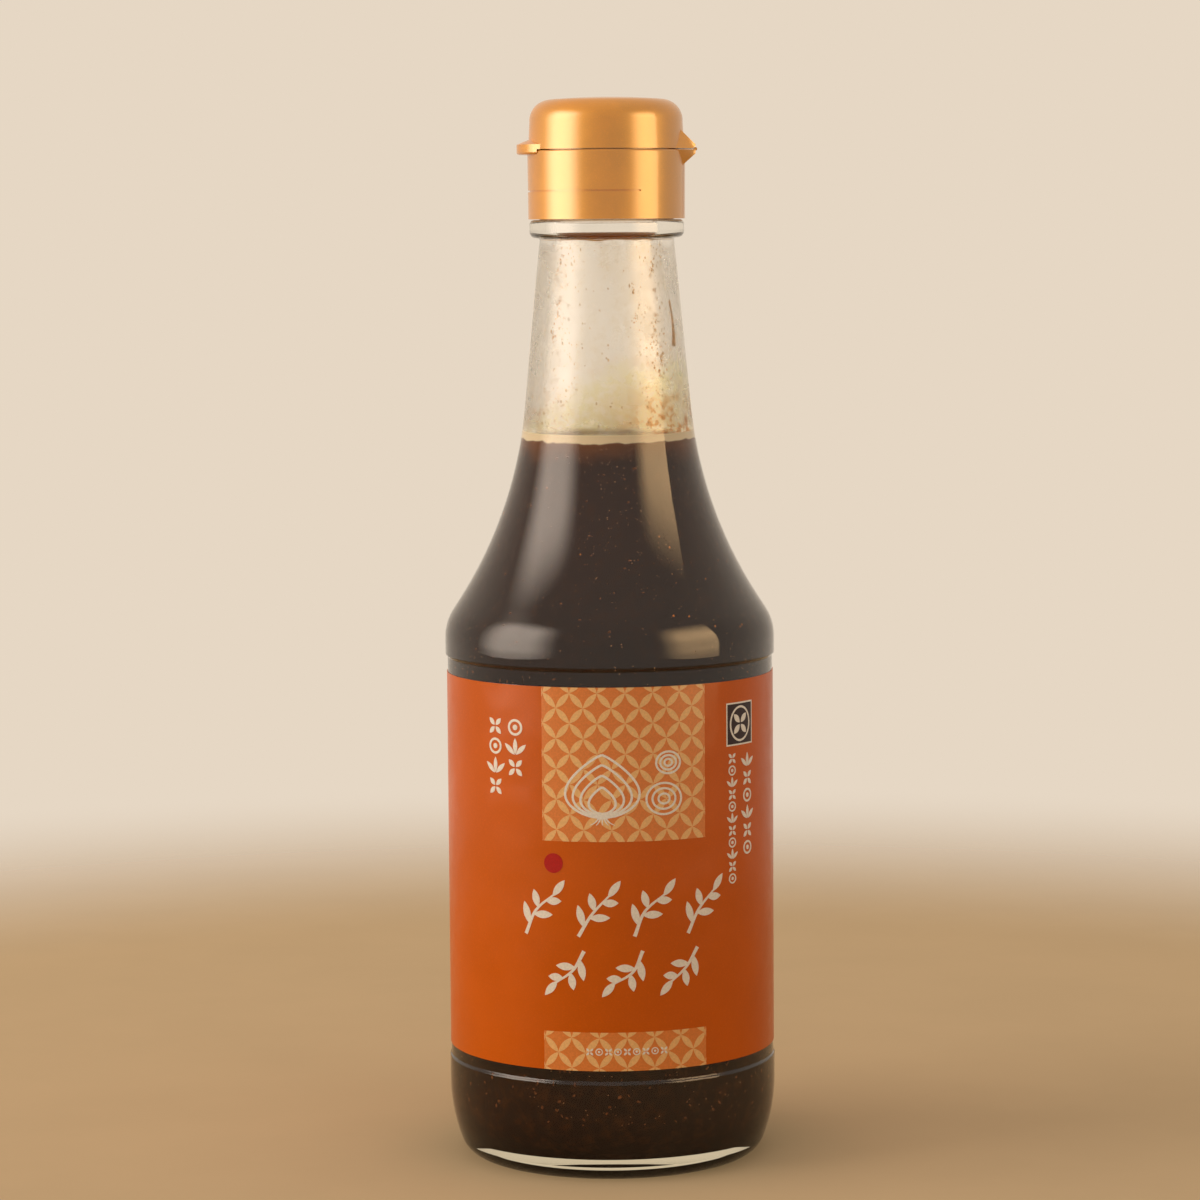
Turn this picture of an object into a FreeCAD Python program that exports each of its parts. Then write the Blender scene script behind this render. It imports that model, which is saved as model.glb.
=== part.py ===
import FreeCAD, Part
import math
import os

import Sketcher

# A glass bottle of sauce with a wrap-round paper label and a press-on cap whose
# flip-top lid turns on a moulded hinge.
#
# Millimetres and degrees.  +Z is up.  The origin is the centre of the base, on the
# plane that the bottle stands on.  The front of the label faces -Y, the hinge of
# the cap lies on +X and its thumb tab on -X.

V = FreeCAD.Vector

# name in the sheet, value, what it sets
DRIVING_SIZES = [
    # the glass: base
    ("heel_radius", 5.0, "round between the bearing ring and the side"),
    ("foot_radius", 35.0, "long curve from the heel up to the lower band"),
    ("foot_height", 15.5, "where the side becomes upright"),
    ("ring_width", 3.0, "flat ring that the bottle stands on"),
    ("punt_height", 3.0, "hollow under the base"),
    # the glass: body
    ("body_radius", 32.95, "label panel"),
    ("low_band", 0.3, "lower contact band, proud of the panel"),
    ("low_band_height", 4.9, "lower contact band, upright length"),
    ("top_band", 0.43, "upper contact band, proud of the panel"),
    ("top_band_height", 3.3, "upper contact band, upright length"),
    ("band_step", 0.4, "height of the slope between a band and the panel"),
    ("wall", 2.75, "side wall"),
    ("base_thickness", 3.4, "base, measured on the axis"),
    ("floor_dome", 120.0, "radius of the domed inside floor"),
    ("inner_heel", 9.0, "round between the floor and the inner wall"),
    # the glass: shoulder and neck
    ("shoulder_height", 105.9, "where the shoulder starts to turn in"),
    ("shoulder_radius", 10.28, "turn of the shoulder"),
    ("shoulder_angle", 33.0, "lean of the shoulder from upright"),
    ("shoulder_flat", 2.5, "straight part of the shoulder"),
    ("neck_angle", 5.52, "lean of the neck from upright"),
    ("neck_wall", 3.0, "wall at the top of the neck"),
    # the glass: finish
    ("finish_height", 201.5, "rim of the mouth"),
    ("finish_radius", 13.2, "outside of the mouth"),
    ("finish_wall", 3.6, "wall of the mouth"),
    ("neck_step", 0.3, "top of the neck, proud of the mouth"),
    ("snap_drop", 5.2, "rim down to the middle of the snap bead"),
    ("snap_size", 0.9, "snap bead, proud of the mouth"),
    ("bead_reach", 2.35, "transfer bead, proud of the mouth"),
    ("bead_depth", 3.65, "transfer bead, top to bottom"),
    ("bead_round", 1.9, "lower round of the transfer bead"),
    ("bead_corner", 1.1, "upper round of the transfer bead"),
    ("bead_fillet", 0.8, "fillet between the neck and the transfer bead"),
    ("rim_round", 0.9, "rounding of the mouth's rim"),
    # the filling
    ("fill_height", 146.5, "level of the sauce"),
    # the label
    ("label_thickness", 0.15, "paper and glue"),
    ("label_low_margin", 2.3, "panel's lower edge up to the paper"),
    ("label_top_margin", 3.1, "paper up to the panel's upper edge"),
    ("label_gap", 8.0, "glass left bare between the label's ends, at the back"),
    # the cap: collar
    ("cap_clearance", 0.15, "collar to glass"),
    ("cap_wall", 1.6, "collar's wall outside the snap bead"),
    ("skirt_depth", 11.4, "rim of the mouth down to the collar's lower edge"),
    ("skirt_draft", 0.1, "how much narrower the lower edge is"),
    ("deck_thickness", 2.15, "collar's deck over the mouth"),
    ("deck_round", 0.35, "rounding of the collar's upper edge"),
    ("plug_length", 5.5, "ring that seals the mouth, below the deck"),
    ("plug_wall", 1.2, "wall of that ring"),
    ("plug_taper", 0.5, "lead-in at the ring's end"),
    ("spout_bore", 3.5, "radius of the pouring hole"),
    ("spout_wall", 1.2, "wall of the spout"),
    ("spout_height", 5.6, "spout above the deck"),
    ("spout_lip", 0.6, "outward lip of the spout"),
    ("seat_height", 0.9, "ridge on the deck inside the lid's wall"),
    ("seat_width", 1.3, "width of that ridge"),
    ("tear_drop", 8.2, "seam down to the tear line"),
    ("tear_width", 0.35, "height of the tear line"),
    ("tear_depth", 0.4, "depth of the tear line"),
    ("tear_start", 64.7, "angle between the hinge and each end of the tear line"),
    ("slit_angle", 13.8, "angle between the hinge and each upright slit"),
    ("slit_width", 0.3, "width of each upright slit"),
    ("slit_top", 2.4, "seam down to the top of each upright slit"),
    # the cap: lid
    ("seam_gap", 0.2, "collar to lid"),
    ("lid_set", 0.2, "lid's side set in from the collar"),
    ("lid_draft", 0.27, "how much narrower the lid's shoulder is"),
    ("lid_height", 10.5, "seam to the crown of the lid"),
    ("lid_corner", 4.2, "round between the lid's side and top"),
    ("lid_crown", 0.45, "rise of the lid's top"),
    ("lid_wall", 1.2, "wall of the lid"),
    ("lid_clearance", 0.3, "lid's wall to the ridge on the deck"),
    ("pin_clearance", 0.5, "sealing pin to the spout's bore"),
    ("pin_wall", 0.8, "wall of the hollow sealing pin"),
    ("pin_entry", 1.2, "how far the pin reaches into the spout"),
    # the cap: thumb tab
    ("tab_radius", 9.8, "round of the tab, seen from above"),
    ("tab_reach", 2.15, "tab beyond the collar"),
    ("tab_drop", 0.9, "tab below the seam"),
    ("tab_edge", 2.0, "height of the tab's edge"),
    ("tab_rise", 1.0, "slope of the tab's top up to the lid"),
    ("tab_round", 0.5, "rounding of the tab's edge"),
    # the cap: hinge
    ("hinge_reach", 2.35, "hinge beyond the collar, its bead included"),
    ("hinge_bead", 0.35, "radius of the hinge's bead"),
    ("bead_clearance", 0.1, "bead to its seat in the lid's ear"),
    ("ear_tip", 3.6, "half width of the ears at the bead"),
    ("ear_tip_height", 0.8, "height of the ears at the bead"),
    ("ear_root", 9.2, "half width of the ears at their buried roots"),
    ("ear_crown", 4.9, "half width of the ears' outer edge at the roots"),
    ("ear_depth", 5.85, "bead in to the buried roots"),
    ("lid_ear_rise", 6.6, "height of the lid's ear at its root"),
    ("collar_ear_rise", 6.0, "height of the collar's ear at its root"),
]


# ---- sizes that remember the sheet cells they come from ----

class Size:
    """A number together with the sheet expression that gives it."""

    def __init__(self, value, text):
        self.value = value
        self.text = text

    def _with(self, sign, other, value):
        return Size(value, f"({self.text} {sign} {as_size(other).text})")

    def __add__(self, other):
        return self._with("+", other, self.value + as_size(other).value)

    def __sub__(self, other):
        return self._with("-", other, self.value - as_size(other).value)

    def __mul__(self, other):
        return self._with("*", other, self.value * as_size(other).value)

    def __truediv__(self, other):
        return self._with("/", other, self.value / as_size(other).value)

    def __neg__(self):
        return ZERO - self


def as_size(number):
    """Wrap a plain number, which then appears as it is in the expression."""
    return number if isinstance(number, Size) else Size(float(number), repr(float(number)))


ZERO = Size(0.0, "0")


class Sheet:
    """The spreadsheet of driving sizes; each alias is also an attribute."""

    def __init__(self, doc):
        cells = doc.addObject("Spreadsheet::Sheet", "Sizes")
        for row, (alias, value, note) in enumerate(DRIVING_SIZES, start=1):
            cells.set(f"A{row}", alias)
            cells.set(f"B{row}", str(value))
            cells.set(f"C{row}", note)
            cells.setAlias(f"B{row}", alias)
            setattr(self, alias, Size(value, f"Sizes.{alias}"))


# ---- sketches ----

class Edge:
    """One edge of an outline and the point numbers of its two ends."""

    def __init__(self, geo, first, last):
        self.geo = geo
        self.first = first
        self.last = last


class Outline:
    """A closed outline drawn edge by edge in a sketch of a body.

    A coordinate given as a Size is bound to the sheet.  A coordinate given as a
    plain number is only where the edge is drawn, and tangency or another size
    settles it.
    """

    def __init__(self, body, name, start, plane="XZ_Plane", offset=None):
        self.sketch = body.newObject("Sketcher::SketchObject", name)
        origin_plane = next(item for item in body.Origin.OriginFeatures if item.Role == plane)
        self.sketch.AttachmentSupport = [(origin_plane, "")]
        self.sketch.MapMode = "FlatFace"
        if offset is not None:
            self.sketch.AttachmentOffset = FreeCAD.Placement(V(0, 0, offset.value), FreeCAD.Rotation())
            self.sketch.setExpression(".AttachmentOffset.Base.z", offset.text)
        self.start = start
        self.pen = start
        self.edges = []

    def _bind(self, constraint, size=None):
        index = self.sketch.addConstraint(constraint)
        if size is not None:
            self.sketch.setExpression(f"Constraints[{index}]", size.text)

    def _place(self, geo, point, x, z):
        for kind, axis, value in (("DistanceX", -2, x), ("DistanceY", -1, z)):
            if value is ZERO:
                self._bind(Sketcher.Constraint("PointOnObject", geo, point, axis))
            elif isinstance(value, Size):
                self._bind(Sketcher.Constraint(kind, geo, point, value.value), value)

    def _join(self, edge, smooth):
        if not self.edges:
            self._place(edge.geo, edge.first, *self.start)
            return
        last = self.edges[-1]
        kind = "Tangent" if smooth else "Coincident"
        self._bind(Sketcher.Constraint(kind, last.geo, last.last, edge.geo, edge.first))

    def _finish_edge(self, edge, x, z, smooth):
        self._join(edge, smooth)
        self._place(edge.geo, edge.last, x, z)
        self.edges.append(edge)
        self.pen = (x, z)
        return self

    def line(self, x, z, smooth=False, lean=None, length=None, level=False):
        """Draw a straight edge; lean is its angle from upright, turning inwards."""
        start, end = flat(self.pen), flat((x, z))
        geo = self.sketch.addGeometry(Part.LineSegment(V(*start), V(*end)), False)
        if lean is not None:
            angle = lean + 90
            self._bind(Sketcher.Constraint("Angle", geo, math.radians(angle.value)), angle)
        if length is not None:
            self._bind(Sketcher.Constraint("Distance", geo, length.value), length)
        if level:
            self._bind(Sketcher.Constraint("Horizontal", geo))
        return self._finish_edge(Edge(geo, 1, 2), x, z, smooth)

    def arc(self, x, z, centre, radius=None, clockwise=False, smooth=False):
        """Draw a round edge; the centre follows the same rule as the corners."""
        start, end, middle = flat(self.pen), flat((x, z)), flat(centre)
        turn_in, turn_out = (bearing(middle, point) for point in (start, end))
        size = math.dist(middle, start)
        circle = Part.Circle(V(*middle), V(0, 0, 1), size)
        if clockwise:
            shape, edge_ends = Part.ArcOfCircle(circle, turn_out, turn_in), (2, 1)
        else:
            shape, edge_ends = Part.ArcOfCircle(circle, turn_in, turn_out), (1, 2)
        geo = self.sketch.addGeometry(shape, False)
        if radius is not None:
            self._bind(Sketcher.Constraint("Radius", geo, radius.value), radius)
        self._place(geo, 3, *centre)
        return self._finish_edge(Edge(geo, *edge_ends), x, z, smooth)

    def close(self):
        """Draw the last straight edge back to the start."""
        geo = self.sketch.addGeometry(Part.LineSegment(V(*flat(self.pen)), V(*flat(self.start))), False)
        edge = Edge(geo, 1, 2)
        self._join(edge, smooth=False)
        first = self.edges[0]
        self._bind(Sketcher.Constraint("Coincident", geo, 2, first.geo, first.first))
        return self.sketch


def flat(point):
    """The plain sketch coordinates of a point given in sizes or numbers."""
    return (as_size(point[0]).value, as_size(point[1]).value, 0.0)


def bearing(centre, point):
    """Direction from the centre of a round to one of its ends, in radians."""
    return math.atan2(point[1] - centre[1], point[0] - centre[0])


def box_outline(body, name, low, high, plane="XZ_Plane", offset=None):
    """A rectangle between two corners."""
    outline = Outline(body, name, low, plane, offset)
    outline.line(high[0], low[1]).line(high[0], high[1]).line(low[0], high[1])
    return outline.close()


# ---- features ----

def turn(body, sketch, name, cut=False, sweep=None):
    """Revolve a sketch about the sketch's upright axis, to add or to cut."""
    before = 0.0 if not cut else body.Shape.Volume
    feature = body.newObject("PartDesign::Groove" if cut else "PartDesign::Revolution", name)
    feature.Profile = sketch
    feature.ReferenceAxis = (sketch, ["V_Axis"])
    if sweep is None:
        feature.Angle = 360
    else:
        feature.Midplane = True
        feature.Angle = sweep.value
        feature.setExpression("Angle", sweep.text)
    settle(body)
    if cut and body.Shape.Volume > before - 1e-3:
        raise RuntimeError(f"{name} cut nothing")
    return feature


def settle(body):
    body.Document.recompute()
    if body.Shape.isNull() or not body.Shape.isValid():
        raise RuntimeError(f"{body.Label} has no valid shape")


def round_edges(body, name, size, picks):
    """Fillet the circular edges that lie at the given radii and heights."""
    tip = body.Tip
    names = [
        f"Edge{number}"
        for number, edge in enumerate(tip.Shape.Edges, start=1)
        if any(is_hoop(edge, radius.value, height.value) for radius, height in picks)
    ]
    if len(names) < len(picks):
        raise RuntimeError(f"{name} found {len(names)} edges")
    fillet = body.newObject("PartDesign::Fillet", name)
    fillet.Base = (tip, names)
    fillet.Radius = size.value
    fillet.setExpression("Radius", size.text)
    settle(body)


def is_hoop(edge, radius, height):
    if edge.Degenerated:
        return False
    curve = edge.Curve
    return (
        isinstance(curve, Part.Circle)
        and abs(curve.Radius - radius) < 1e-4
        and abs(curve.Center.z - height) < 1e-4
    )


def new_body(doc, name):
    body = doc.addObject("PartDesign::Body", name)
    body.Label = name
    body.Placement = FreeCAD.Placement()
    return body


# ---- where two round edges or two slopes meet ----

def heel_points(wall_radius, heel_radius, side_radius, side_height):
    """Centre of the heel, centre of the side's curve and the point where they meet."""
    side = (wall_radius - side_radius, side_height)
    gap = side_radius - heel_radius
    heel = (side[0] + math.sqrt(gap ** 2 - (side_height - heel_radius) ** 2), heel_radius)
    reach = side_radius / gap
    meet = tuple(s + (c - s) * reach for s, c in zip(side, heel))
    return heel, side, meet


def shoulder_points(radius, height, turn_radius, lean, flat_length, neck_radius, neck_height, neck_lean):
    """The points between the body's side and the neck.

    Gives the centre of the shoulder's turn, the two ends of its straight part, the
    centre of the neck's hollow curve and the point where the straight neck begins.
    """
    slope, rise = math.radians(lean), math.radians(neck_lean)
    centre = (radius - turn_radius, height)
    top = (centre[0] + turn_radius * math.cos(slope), height + turn_radius * math.sin(slope))
    foot = (top[0] - flat_length * math.sin(slope), top[1] + flat_length * math.cos(slope))
    # the slope and the neck, carried on, cross at this height
    reach = foot[0] + foot[1] * math.tan(slope)
    cross_z = (reach - neck_radius - neck_height * math.tan(rise)) / (math.tan(slope) - math.tan(rise))
    cross_r = reach - cross_z * math.tan(slope)
    run = math.dist((cross_r, cross_z), foot)
    neck_start = (cross_r - run * math.sin(rise), cross_z + run * math.cos(rise))
    hollow = run / math.tan((slope - rise) / 2)
    hollow_centre = (foot[0] + hollow * math.cos(slope), foot[1] + hollow * math.sin(slope))
    return centre, top, foot, hollow_centre, neck_start


# ---- heights and radii that several pieces share ----

class Levels:
    """Places worked out from the driving sizes, for every piece that meets there."""

    def __init__(self, s):
        # glass
        self.panel_bottom = s.foot_height + s.low_band_height + s.band_step
        self.panel_top = s.shoulder_height - s.top_band_height - s.band_step
        self.skirt_bottom = s.finish_height - s.skirt_depth
        self.bead_top = self.skirt_bottom - s.cap_clearance
        self.bead_bottom = self.bead_top - s.bead_depth
        self.bead_radius = s.finish_radius + s.bead_reach
        self.neck_radius = s.finish_radius + s.neck_step
        self.bore = s.finish_radius - s.finish_wall
        self.snap_height = s.finish_height - s.snap_drop
        self.floor = s.punt_height + s.base_thickness
        # cap
        self.cap_radius = s.finish_radius + s.snap_size + s.cap_clearance + s.cap_wall
        self.deck_bottom = s.finish_height + s.cap_clearance
        self.deck_top = self.deck_bottom + s.deck_thickness
        self.seam = self.deck_top + s.seam_gap / 2
        self.lid_bottom = self.seam + s.seam_gap / 2
        self.lid_radius = self.cap_radius - s.lid_set
        self.lid_top = self.seam + s.lid_height
        self.lid_inside = self.lid_radius - s.lid_wall
        self.ceiling = self.lid_top - s.lid_crown - s.lid_wall
        self.spout_top = self.deck_top + s.spout_height
        self.hinge_x = self.cap_radius + s.hinge_reach - s.hinge_bead


# ---- pieces ----

def cavity_outline(body, s, at):
    """Half of the space inside the glass, from the floor to the mouth."""
    inner = s.body_radius - s.wall
    neck = at.neck_radius - s.neck_wall
    turn_radius = s.shoulder_radius - s.wall
    side = s.body_radius + s.top_band - s.wall
    centre, top, foot, hollow, neck_start = shoulder_points(
        side.value, s.shoulder_height.value, turn_radius.value, s.shoulder_angle.value,
        s.shoulder_flat.value, neck.value, at.bead_bottom.value, s.neck_angle.value)
    dome = at.floor - s.floor_dome
    heel = s.inner_heel.value
    heel_x = inner.value - heel
    heel_z = dome.value + math.sqrt((s.floor_dome.value + heel) ** 2 - heel_x ** 2)
    share = s.floor_dome.value / (s.floor_dome.value + heel)
    floor_edge = (heel_x * share, dome.value + (heel_z - dome.value) * share)
    outline = Outline(body, "cavity_outline", (ZERO, at.floor))
    outline.arc(*floor_edge, centre=(ZERO, dome), clockwise=True)
    outline.arc(inner, heel_z, centre=(heel_x, heel_z), radius=s.inner_heel, smooth=True)
    outline.line(inner, at.panel_top, smooth=True)
    outline.line(side, at.panel_top + s.band_step)
    outline.line(side, s.shoulder_height)
    outline.arc(*top, centre=centre, radius=turn_radius, smooth=True)
    outline.line(*foot, smooth=True, lean=s.shoulder_angle, length=s.shoulder_flat)
    outline.arc(*neck_start, centre=hollow, clockwise=True, smooth=True)
    outline.line(neck, at.bead_bottom, smooth=True, lean=s.neck_angle)
    outline.line(at.bore, at.bead_top)
    outline.line(at.bore, s.finish_height)
    outline.line(ZERO, s.finish_height)
    return outline.close()


def make_bottle(doc, s, at):
    """The glass: punt, bearing ring, recessed label panel, shoulder, neck and finish."""
    body = new_body(doc, "bottle")
    low = s.body_radius + s.low_band
    high = s.body_radius + s.top_band
    heel, side, meet = heel_points(
        low.value, s.heel_radius.value, s.foot_radius.value, s.foot_height.value)
    ring_inner = heel[0] - s.ring_width.value
    punt = s.punt_height.value
    punt_centre = punt - (ring_inner ** 2 + punt ** 2) / (2 * punt)
    centre, top, foot, hollow, neck_start = shoulder_points(
        high.value, s.shoulder_height.value, s.shoulder_radius.value, s.shoulder_angle.value,
        s.shoulder_flat.value, at.neck_radius.value, at.bead_bottom.value, s.neck_angle.value)
    outline = Outline(body, "glass_outline", (ZERO, s.punt_height))
    outline.arc(ring_inner, ZERO, centre=(ZERO, punt_centre), clockwise=True)
    outline.line(heel[0], ZERO, length=s.ring_width)
    outline.arc(*meet, centre=heel, radius=s.heel_radius, smooth=True)
    outline.arc(low, s.foot_height, centre=side, radius=s.foot_radius, smooth=True)
    outline.line(low, at.panel_bottom - s.band_step, smooth=True)
    outline.line(s.body_radius, at.panel_bottom)
    outline.line(s.body_radius, at.panel_top)
    outline.line(high, at.panel_top + s.band_step)
    outline.line(high, s.shoulder_height)
    outline.arc(*top, centre=centre, radius=s.shoulder_radius, smooth=True)
    outline.line(*foot, smooth=True, lean=s.shoulder_angle, length=s.shoulder_flat)
    outline.arc(*neck_start, centre=hollow, clockwise=True, smooth=True)
    outline.line(at.neck_radius, at.bead_bottom, smooth=True, lean=s.neck_angle)
    bead_start = at.bead_radius - s.bead_round
    bead_middle = at.bead_bottom + s.bead_round
    outline.line(bead_start, at.bead_bottom)
    outline.arc(at.bead_radius, bead_middle, centre=(bead_start.value, bead_middle.value),
                radius=s.bead_round)
    outline.line(at.bead_radius, at.bead_top - s.bead_corner)
    bead_end = at.bead_radius - s.bead_corner
    outline.arc(bead_end, at.bead_top, centre=(bead_end.value, (at.bead_top - s.bead_corner).value),
                radius=s.bead_corner)
    outline.line(s.finish_radius, at.bead_top)
    outline.line(s.finish_radius, at.snap_height - s.snap_size)
    outline.arc(s.finish_radius, at.snap_height + s.snap_size,
                centre=(s.finish_radius, at.snap_height.value))
    outline.line(s.finish_radius, s.finish_height)
    outline.line(ZERO, s.finish_height)
    turn(body, outline.close(), "blank")
    round_edges(body, "bead_fillet", s.bead_fillet, [(at.neck_radius, at.bead_bottom)])
    turn(body, cavity_outline(body, s, at), "cavity", cut=True)
    round_edges(body, "rim_round", s.rim_round,
                [(s.finish_radius, s.finish_height), (at.bore, s.finish_height)])
    return body


def make_sauce(doc, s, at):
    """The filling: the space inside the glass, up to its level."""
    body = new_body(doc, "sauce")
    turn(body, cavity_outline(body, s, at), "filled")
    above = box_outline(body, "above_level", (ZERO, s.fill_height),
                        (s.body_radius, s.finish_height + s.rim_round))
    turn(body, above, "level", cut=True)
    return body


def make_label(doc, s, at):
    """The paper, wrapped round the panel with its ends apart at the back."""
    body = new_body(doc, "label")
    outside = s.body_radius + s.label_thickness
    paper = box_outline(body, "paper_section", (-outside, at.panel_bottom + s.label_low_margin),
                        (-s.body_radius, at.panel_top - s.label_top_margin), plane="YZ_Plane")
    bare = s.label_gap * 180 / (s.body_radius * math.pi)
    turn(body, paper, "paper", sweep=as_size(360) - bare)
    return body


def add_ear(body, s, at, name, face, rise):
    """One half of the hinge: wide and tall at the wall, small at the bead.

    face is the side of the seam that the ear starts from, and rise its height at the
    buried root, negative when the ear hangs down.
    """
    tip_rise = s.ear_tip_height if rise.value > 0 else -s.ear_tip_height
    sections = []
    for part, x, half, half_far, height in (
            ("root", at.hinge_x - s.ear_depth, s.ear_root, s.ear_crown, rise),
            ("tip", at.hinge_x, s.ear_tip, s.ear_tip, tip_rise)):
        outline = Outline(body, f"{name}_{part}", (-half, face), "YZ_Plane", offset=x)
        outline.line(half, face)
        outline.line(half_far, face + height)
        outline.line(-half_far, face + height)
        sections.append(outline.close())
    loft = body.newObject("PartDesign::AdditiveLoft", name)
    loft.Profile = sections[0]
    loft.Sections = [sections[1]]
    loft.Ruled = True
    settle(body)


def hinge_circle(body, s, at, name, radius):
    """A round section about the hinge's axis."""
    sketch = body.newObject("Sketcher::SketchObject", name)
    plane = next(item for item in body.Origin.OriginFeatures if item.Role == "XZ_Plane")
    sketch.AttachmentSupport = [(plane, "")]
    sketch.MapMode = "FlatFace"
    circle = Part.Circle(V(at.hinge_x.value, at.seam.value, 0), V(0, 0, 1), radius.value)
    geo = sketch.addGeometry(circle, False)
    for kind, point, size in (("DistanceX", 3, at.hinge_x), ("DistanceY", 3, at.seam)):
        index = sketch.addConstraint(Sketcher.Constraint(kind, geo, point, size.value))
        sketch.setExpression(f"Constraints[{index}]", size.text)
    index = sketch.addConstraint(Sketcher.Constraint("Radius", geo, radius.value))
    sketch.setExpression(f"Constraints[{index}]", radius.text)
    return sketch


def straight(body, kind, name, sketch, length):
    """Pad or Pocket a sketch by a length, half to each side of its plane."""
    before = body.Shape.Volume
    feature = body.newObject(f"PartDesign::{kind}", name)
    feature.Profile = sketch
    feature.SideType = "Symmetric"
    feature.Length = length.value
    feature.setExpression("Length", length.text)
    settle(body)
    if kind == "Pocket" and body.Shape.Volume > before - 1e-3:
        raise RuntimeError(f"{name} cut nothing")
    return feature


def make_collar(doc, s, at):
    """The cap's fixed part: skirt, snap groove, sealing ring, spout and hinge half."""
    body = new_body(doc, "collar")
    edge = at.cap_radius - s.deck_round
    low_edge = at.cap_radius - s.skirt_draft
    outline = Outline(body, "collar_blank_outline", (ZERO, at.skirt_bottom))
    outline.line(low_edge, at.skirt_bottom)
    outline.line(at.cap_radius, at.deck_top - s.deck_round)
    outline.arc(edge, at.deck_top, centre=(edge.value, (at.deck_top - s.deck_round).value),
                radius=s.deck_round)
    outline.line(ZERO, at.deck_top)
    turn(body, outline.close(), "collar_blank")
    add_ear(body, s, at, "collar_ear", at.deck_top, -s.collar_ear_rise)

    # the bead joins the ear's tip to the axis that the lid turns on
    bead = hinge_circle(body, s, at, "hinge_bead_section", s.hinge_bead)
    straight(body, "Pad", "hinge_bead", bead, s.ear_tip * 2)

    # hollow that grips the glass, with a groove for the snap bead
    inside = s.finish_radius + s.cap_clearance
    groove = inside + s.snap_size
    half_groove = s.snap_size + s.cap_clearance
    hollow = Outline(body, "skirt_hollow_outline", (ZERO, at.skirt_bottom))
    hollow.line(inside, at.skirt_bottom)
    hollow.line(inside, at.snap_height - half_groove)
    hollow.line(groove, at.snap_height - half_groove)
    hollow.line(groove, at.snap_height + half_groove)
    hollow.line(inside, at.snap_height + half_groove)
    hollow.line(inside, at.deck_bottom)
    hollow.line(ZERO, at.deck_bottom)
    turn(body, hollow.close(), "skirt_hollow", cut=True)

    # ring that plugs the mouth
    ring_outer = at.bore - s.cap_clearance
    ring_inner = ring_outer - s.plug_wall
    ring_end = at.deck_bottom - s.plug_length
    ring = Outline(body, "plug_outline", (ring_inner, ring_end))
    ring.line(ring_outer - s.plug_taper, ring_end)
    ring.line(ring_outer, ring_end + s.plug_taper * 2)
    ring.line(ring_outer, at.deck_top)
    ring.line(ring_inner, at.deck_top)
    turn(body, ring.close(), "plug")

    # ridge that keeps the closed lid in place
    ridge_outer = at.lid_inside - s.lid_clearance
    ridge = box_outline(body, "seat_outline", (ridge_outer - s.seat_width, at.deck_bottom),
                        (ridge_outer, at.deck_top + s.seat_height))
    turn(body, ridge, "seat")

    # spout with a pouring lip, then its bore
    spout_outer = s.spout_bore + s.spout_wall
    spout = Outline(body, "spout_outline", (ZERO, at.deck_bottom))
    spout.line(spout_outer, at.deck_bottom)
    spout.line(spout_outer, at.spout_top - s.spout_lip * 2)
    spout.line(spout_outer + s.spout_lip, at.spout_top - s.spout_lip)
    spout.line(spout_outer + s.spout_lip, at.spout_top)
    spout.line(ZERO, at.spout_top)
    turn(body, spout.close(), "spout")
    bore = box_outline(body, "spout_bore_outline", (ZERO, ring_end),
                       (s.spout_bore, at.spout_top + s.spout_lip))
    turn(body, bore, "spout_bore", cut=True)

    # the tear line runs round the side away from the hinge
    tear_middle = at.seam - s.tear_drop
    tear = box_outline(body, "tear_line_outline",
                       (-(at.cap_radius + s.tear_depth), tear_middle - s.tear_width / 2),
                       (-(at.cap_radius - s.tear_depth), tear_middle + s.tear_width / 2))
    turn(body, tear, "tear_line", cut=True, sweep=as_size(360) - s.tear_start * 2)

    # upright slits beside the hinge
    for name, side in (("front_slit", -1), ("back_slit", 1)):
        cut_slit(body, s, at, name, side)
    return body


def cut_slit(body, s, at, name, side):
    """One shallow upright slit in the skirt, on the given side of the hinge."""
    turned = s.slit_angle * side
    sketch = box_outline(body, f"{name}_outline", (-(s.slit_width / 2), -s.tear_depth),
                         (s.slit_width / 2, s.tear_depth), plane="XY_Plane")
    sketch.setExpression(".AttachmentOffset.Base.x", f"{at.cap_radius.text} * cos({turned.text})")
    sketch.setExpression(".AttachmentOffset.Base.y", f"{at.cap_radius.text} * sin({turned.text})")
    sketch.setExpression(".AttachmentOffset.Base.z", at.skirt_bottom.text)
    sketch.setExpression(".AttachmentOffset.Rotation.Angle", f"{turned.text} + 90")
    height = at.seam - s.slit_top - at.skirt_bottom
    before = body.Shape.Volume
    slit = body.newObject("PartDesign::Pocket", name)
    slit.Profile = sketch
    slit.Reversed = True
    slit.Length = height.value
    slit.setExpression("Length", height.text)
    settle(body)
    if body.Shape.Volume > before - 1e-3:
        raise RuntimeError(f"{name} cut nothing")


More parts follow.
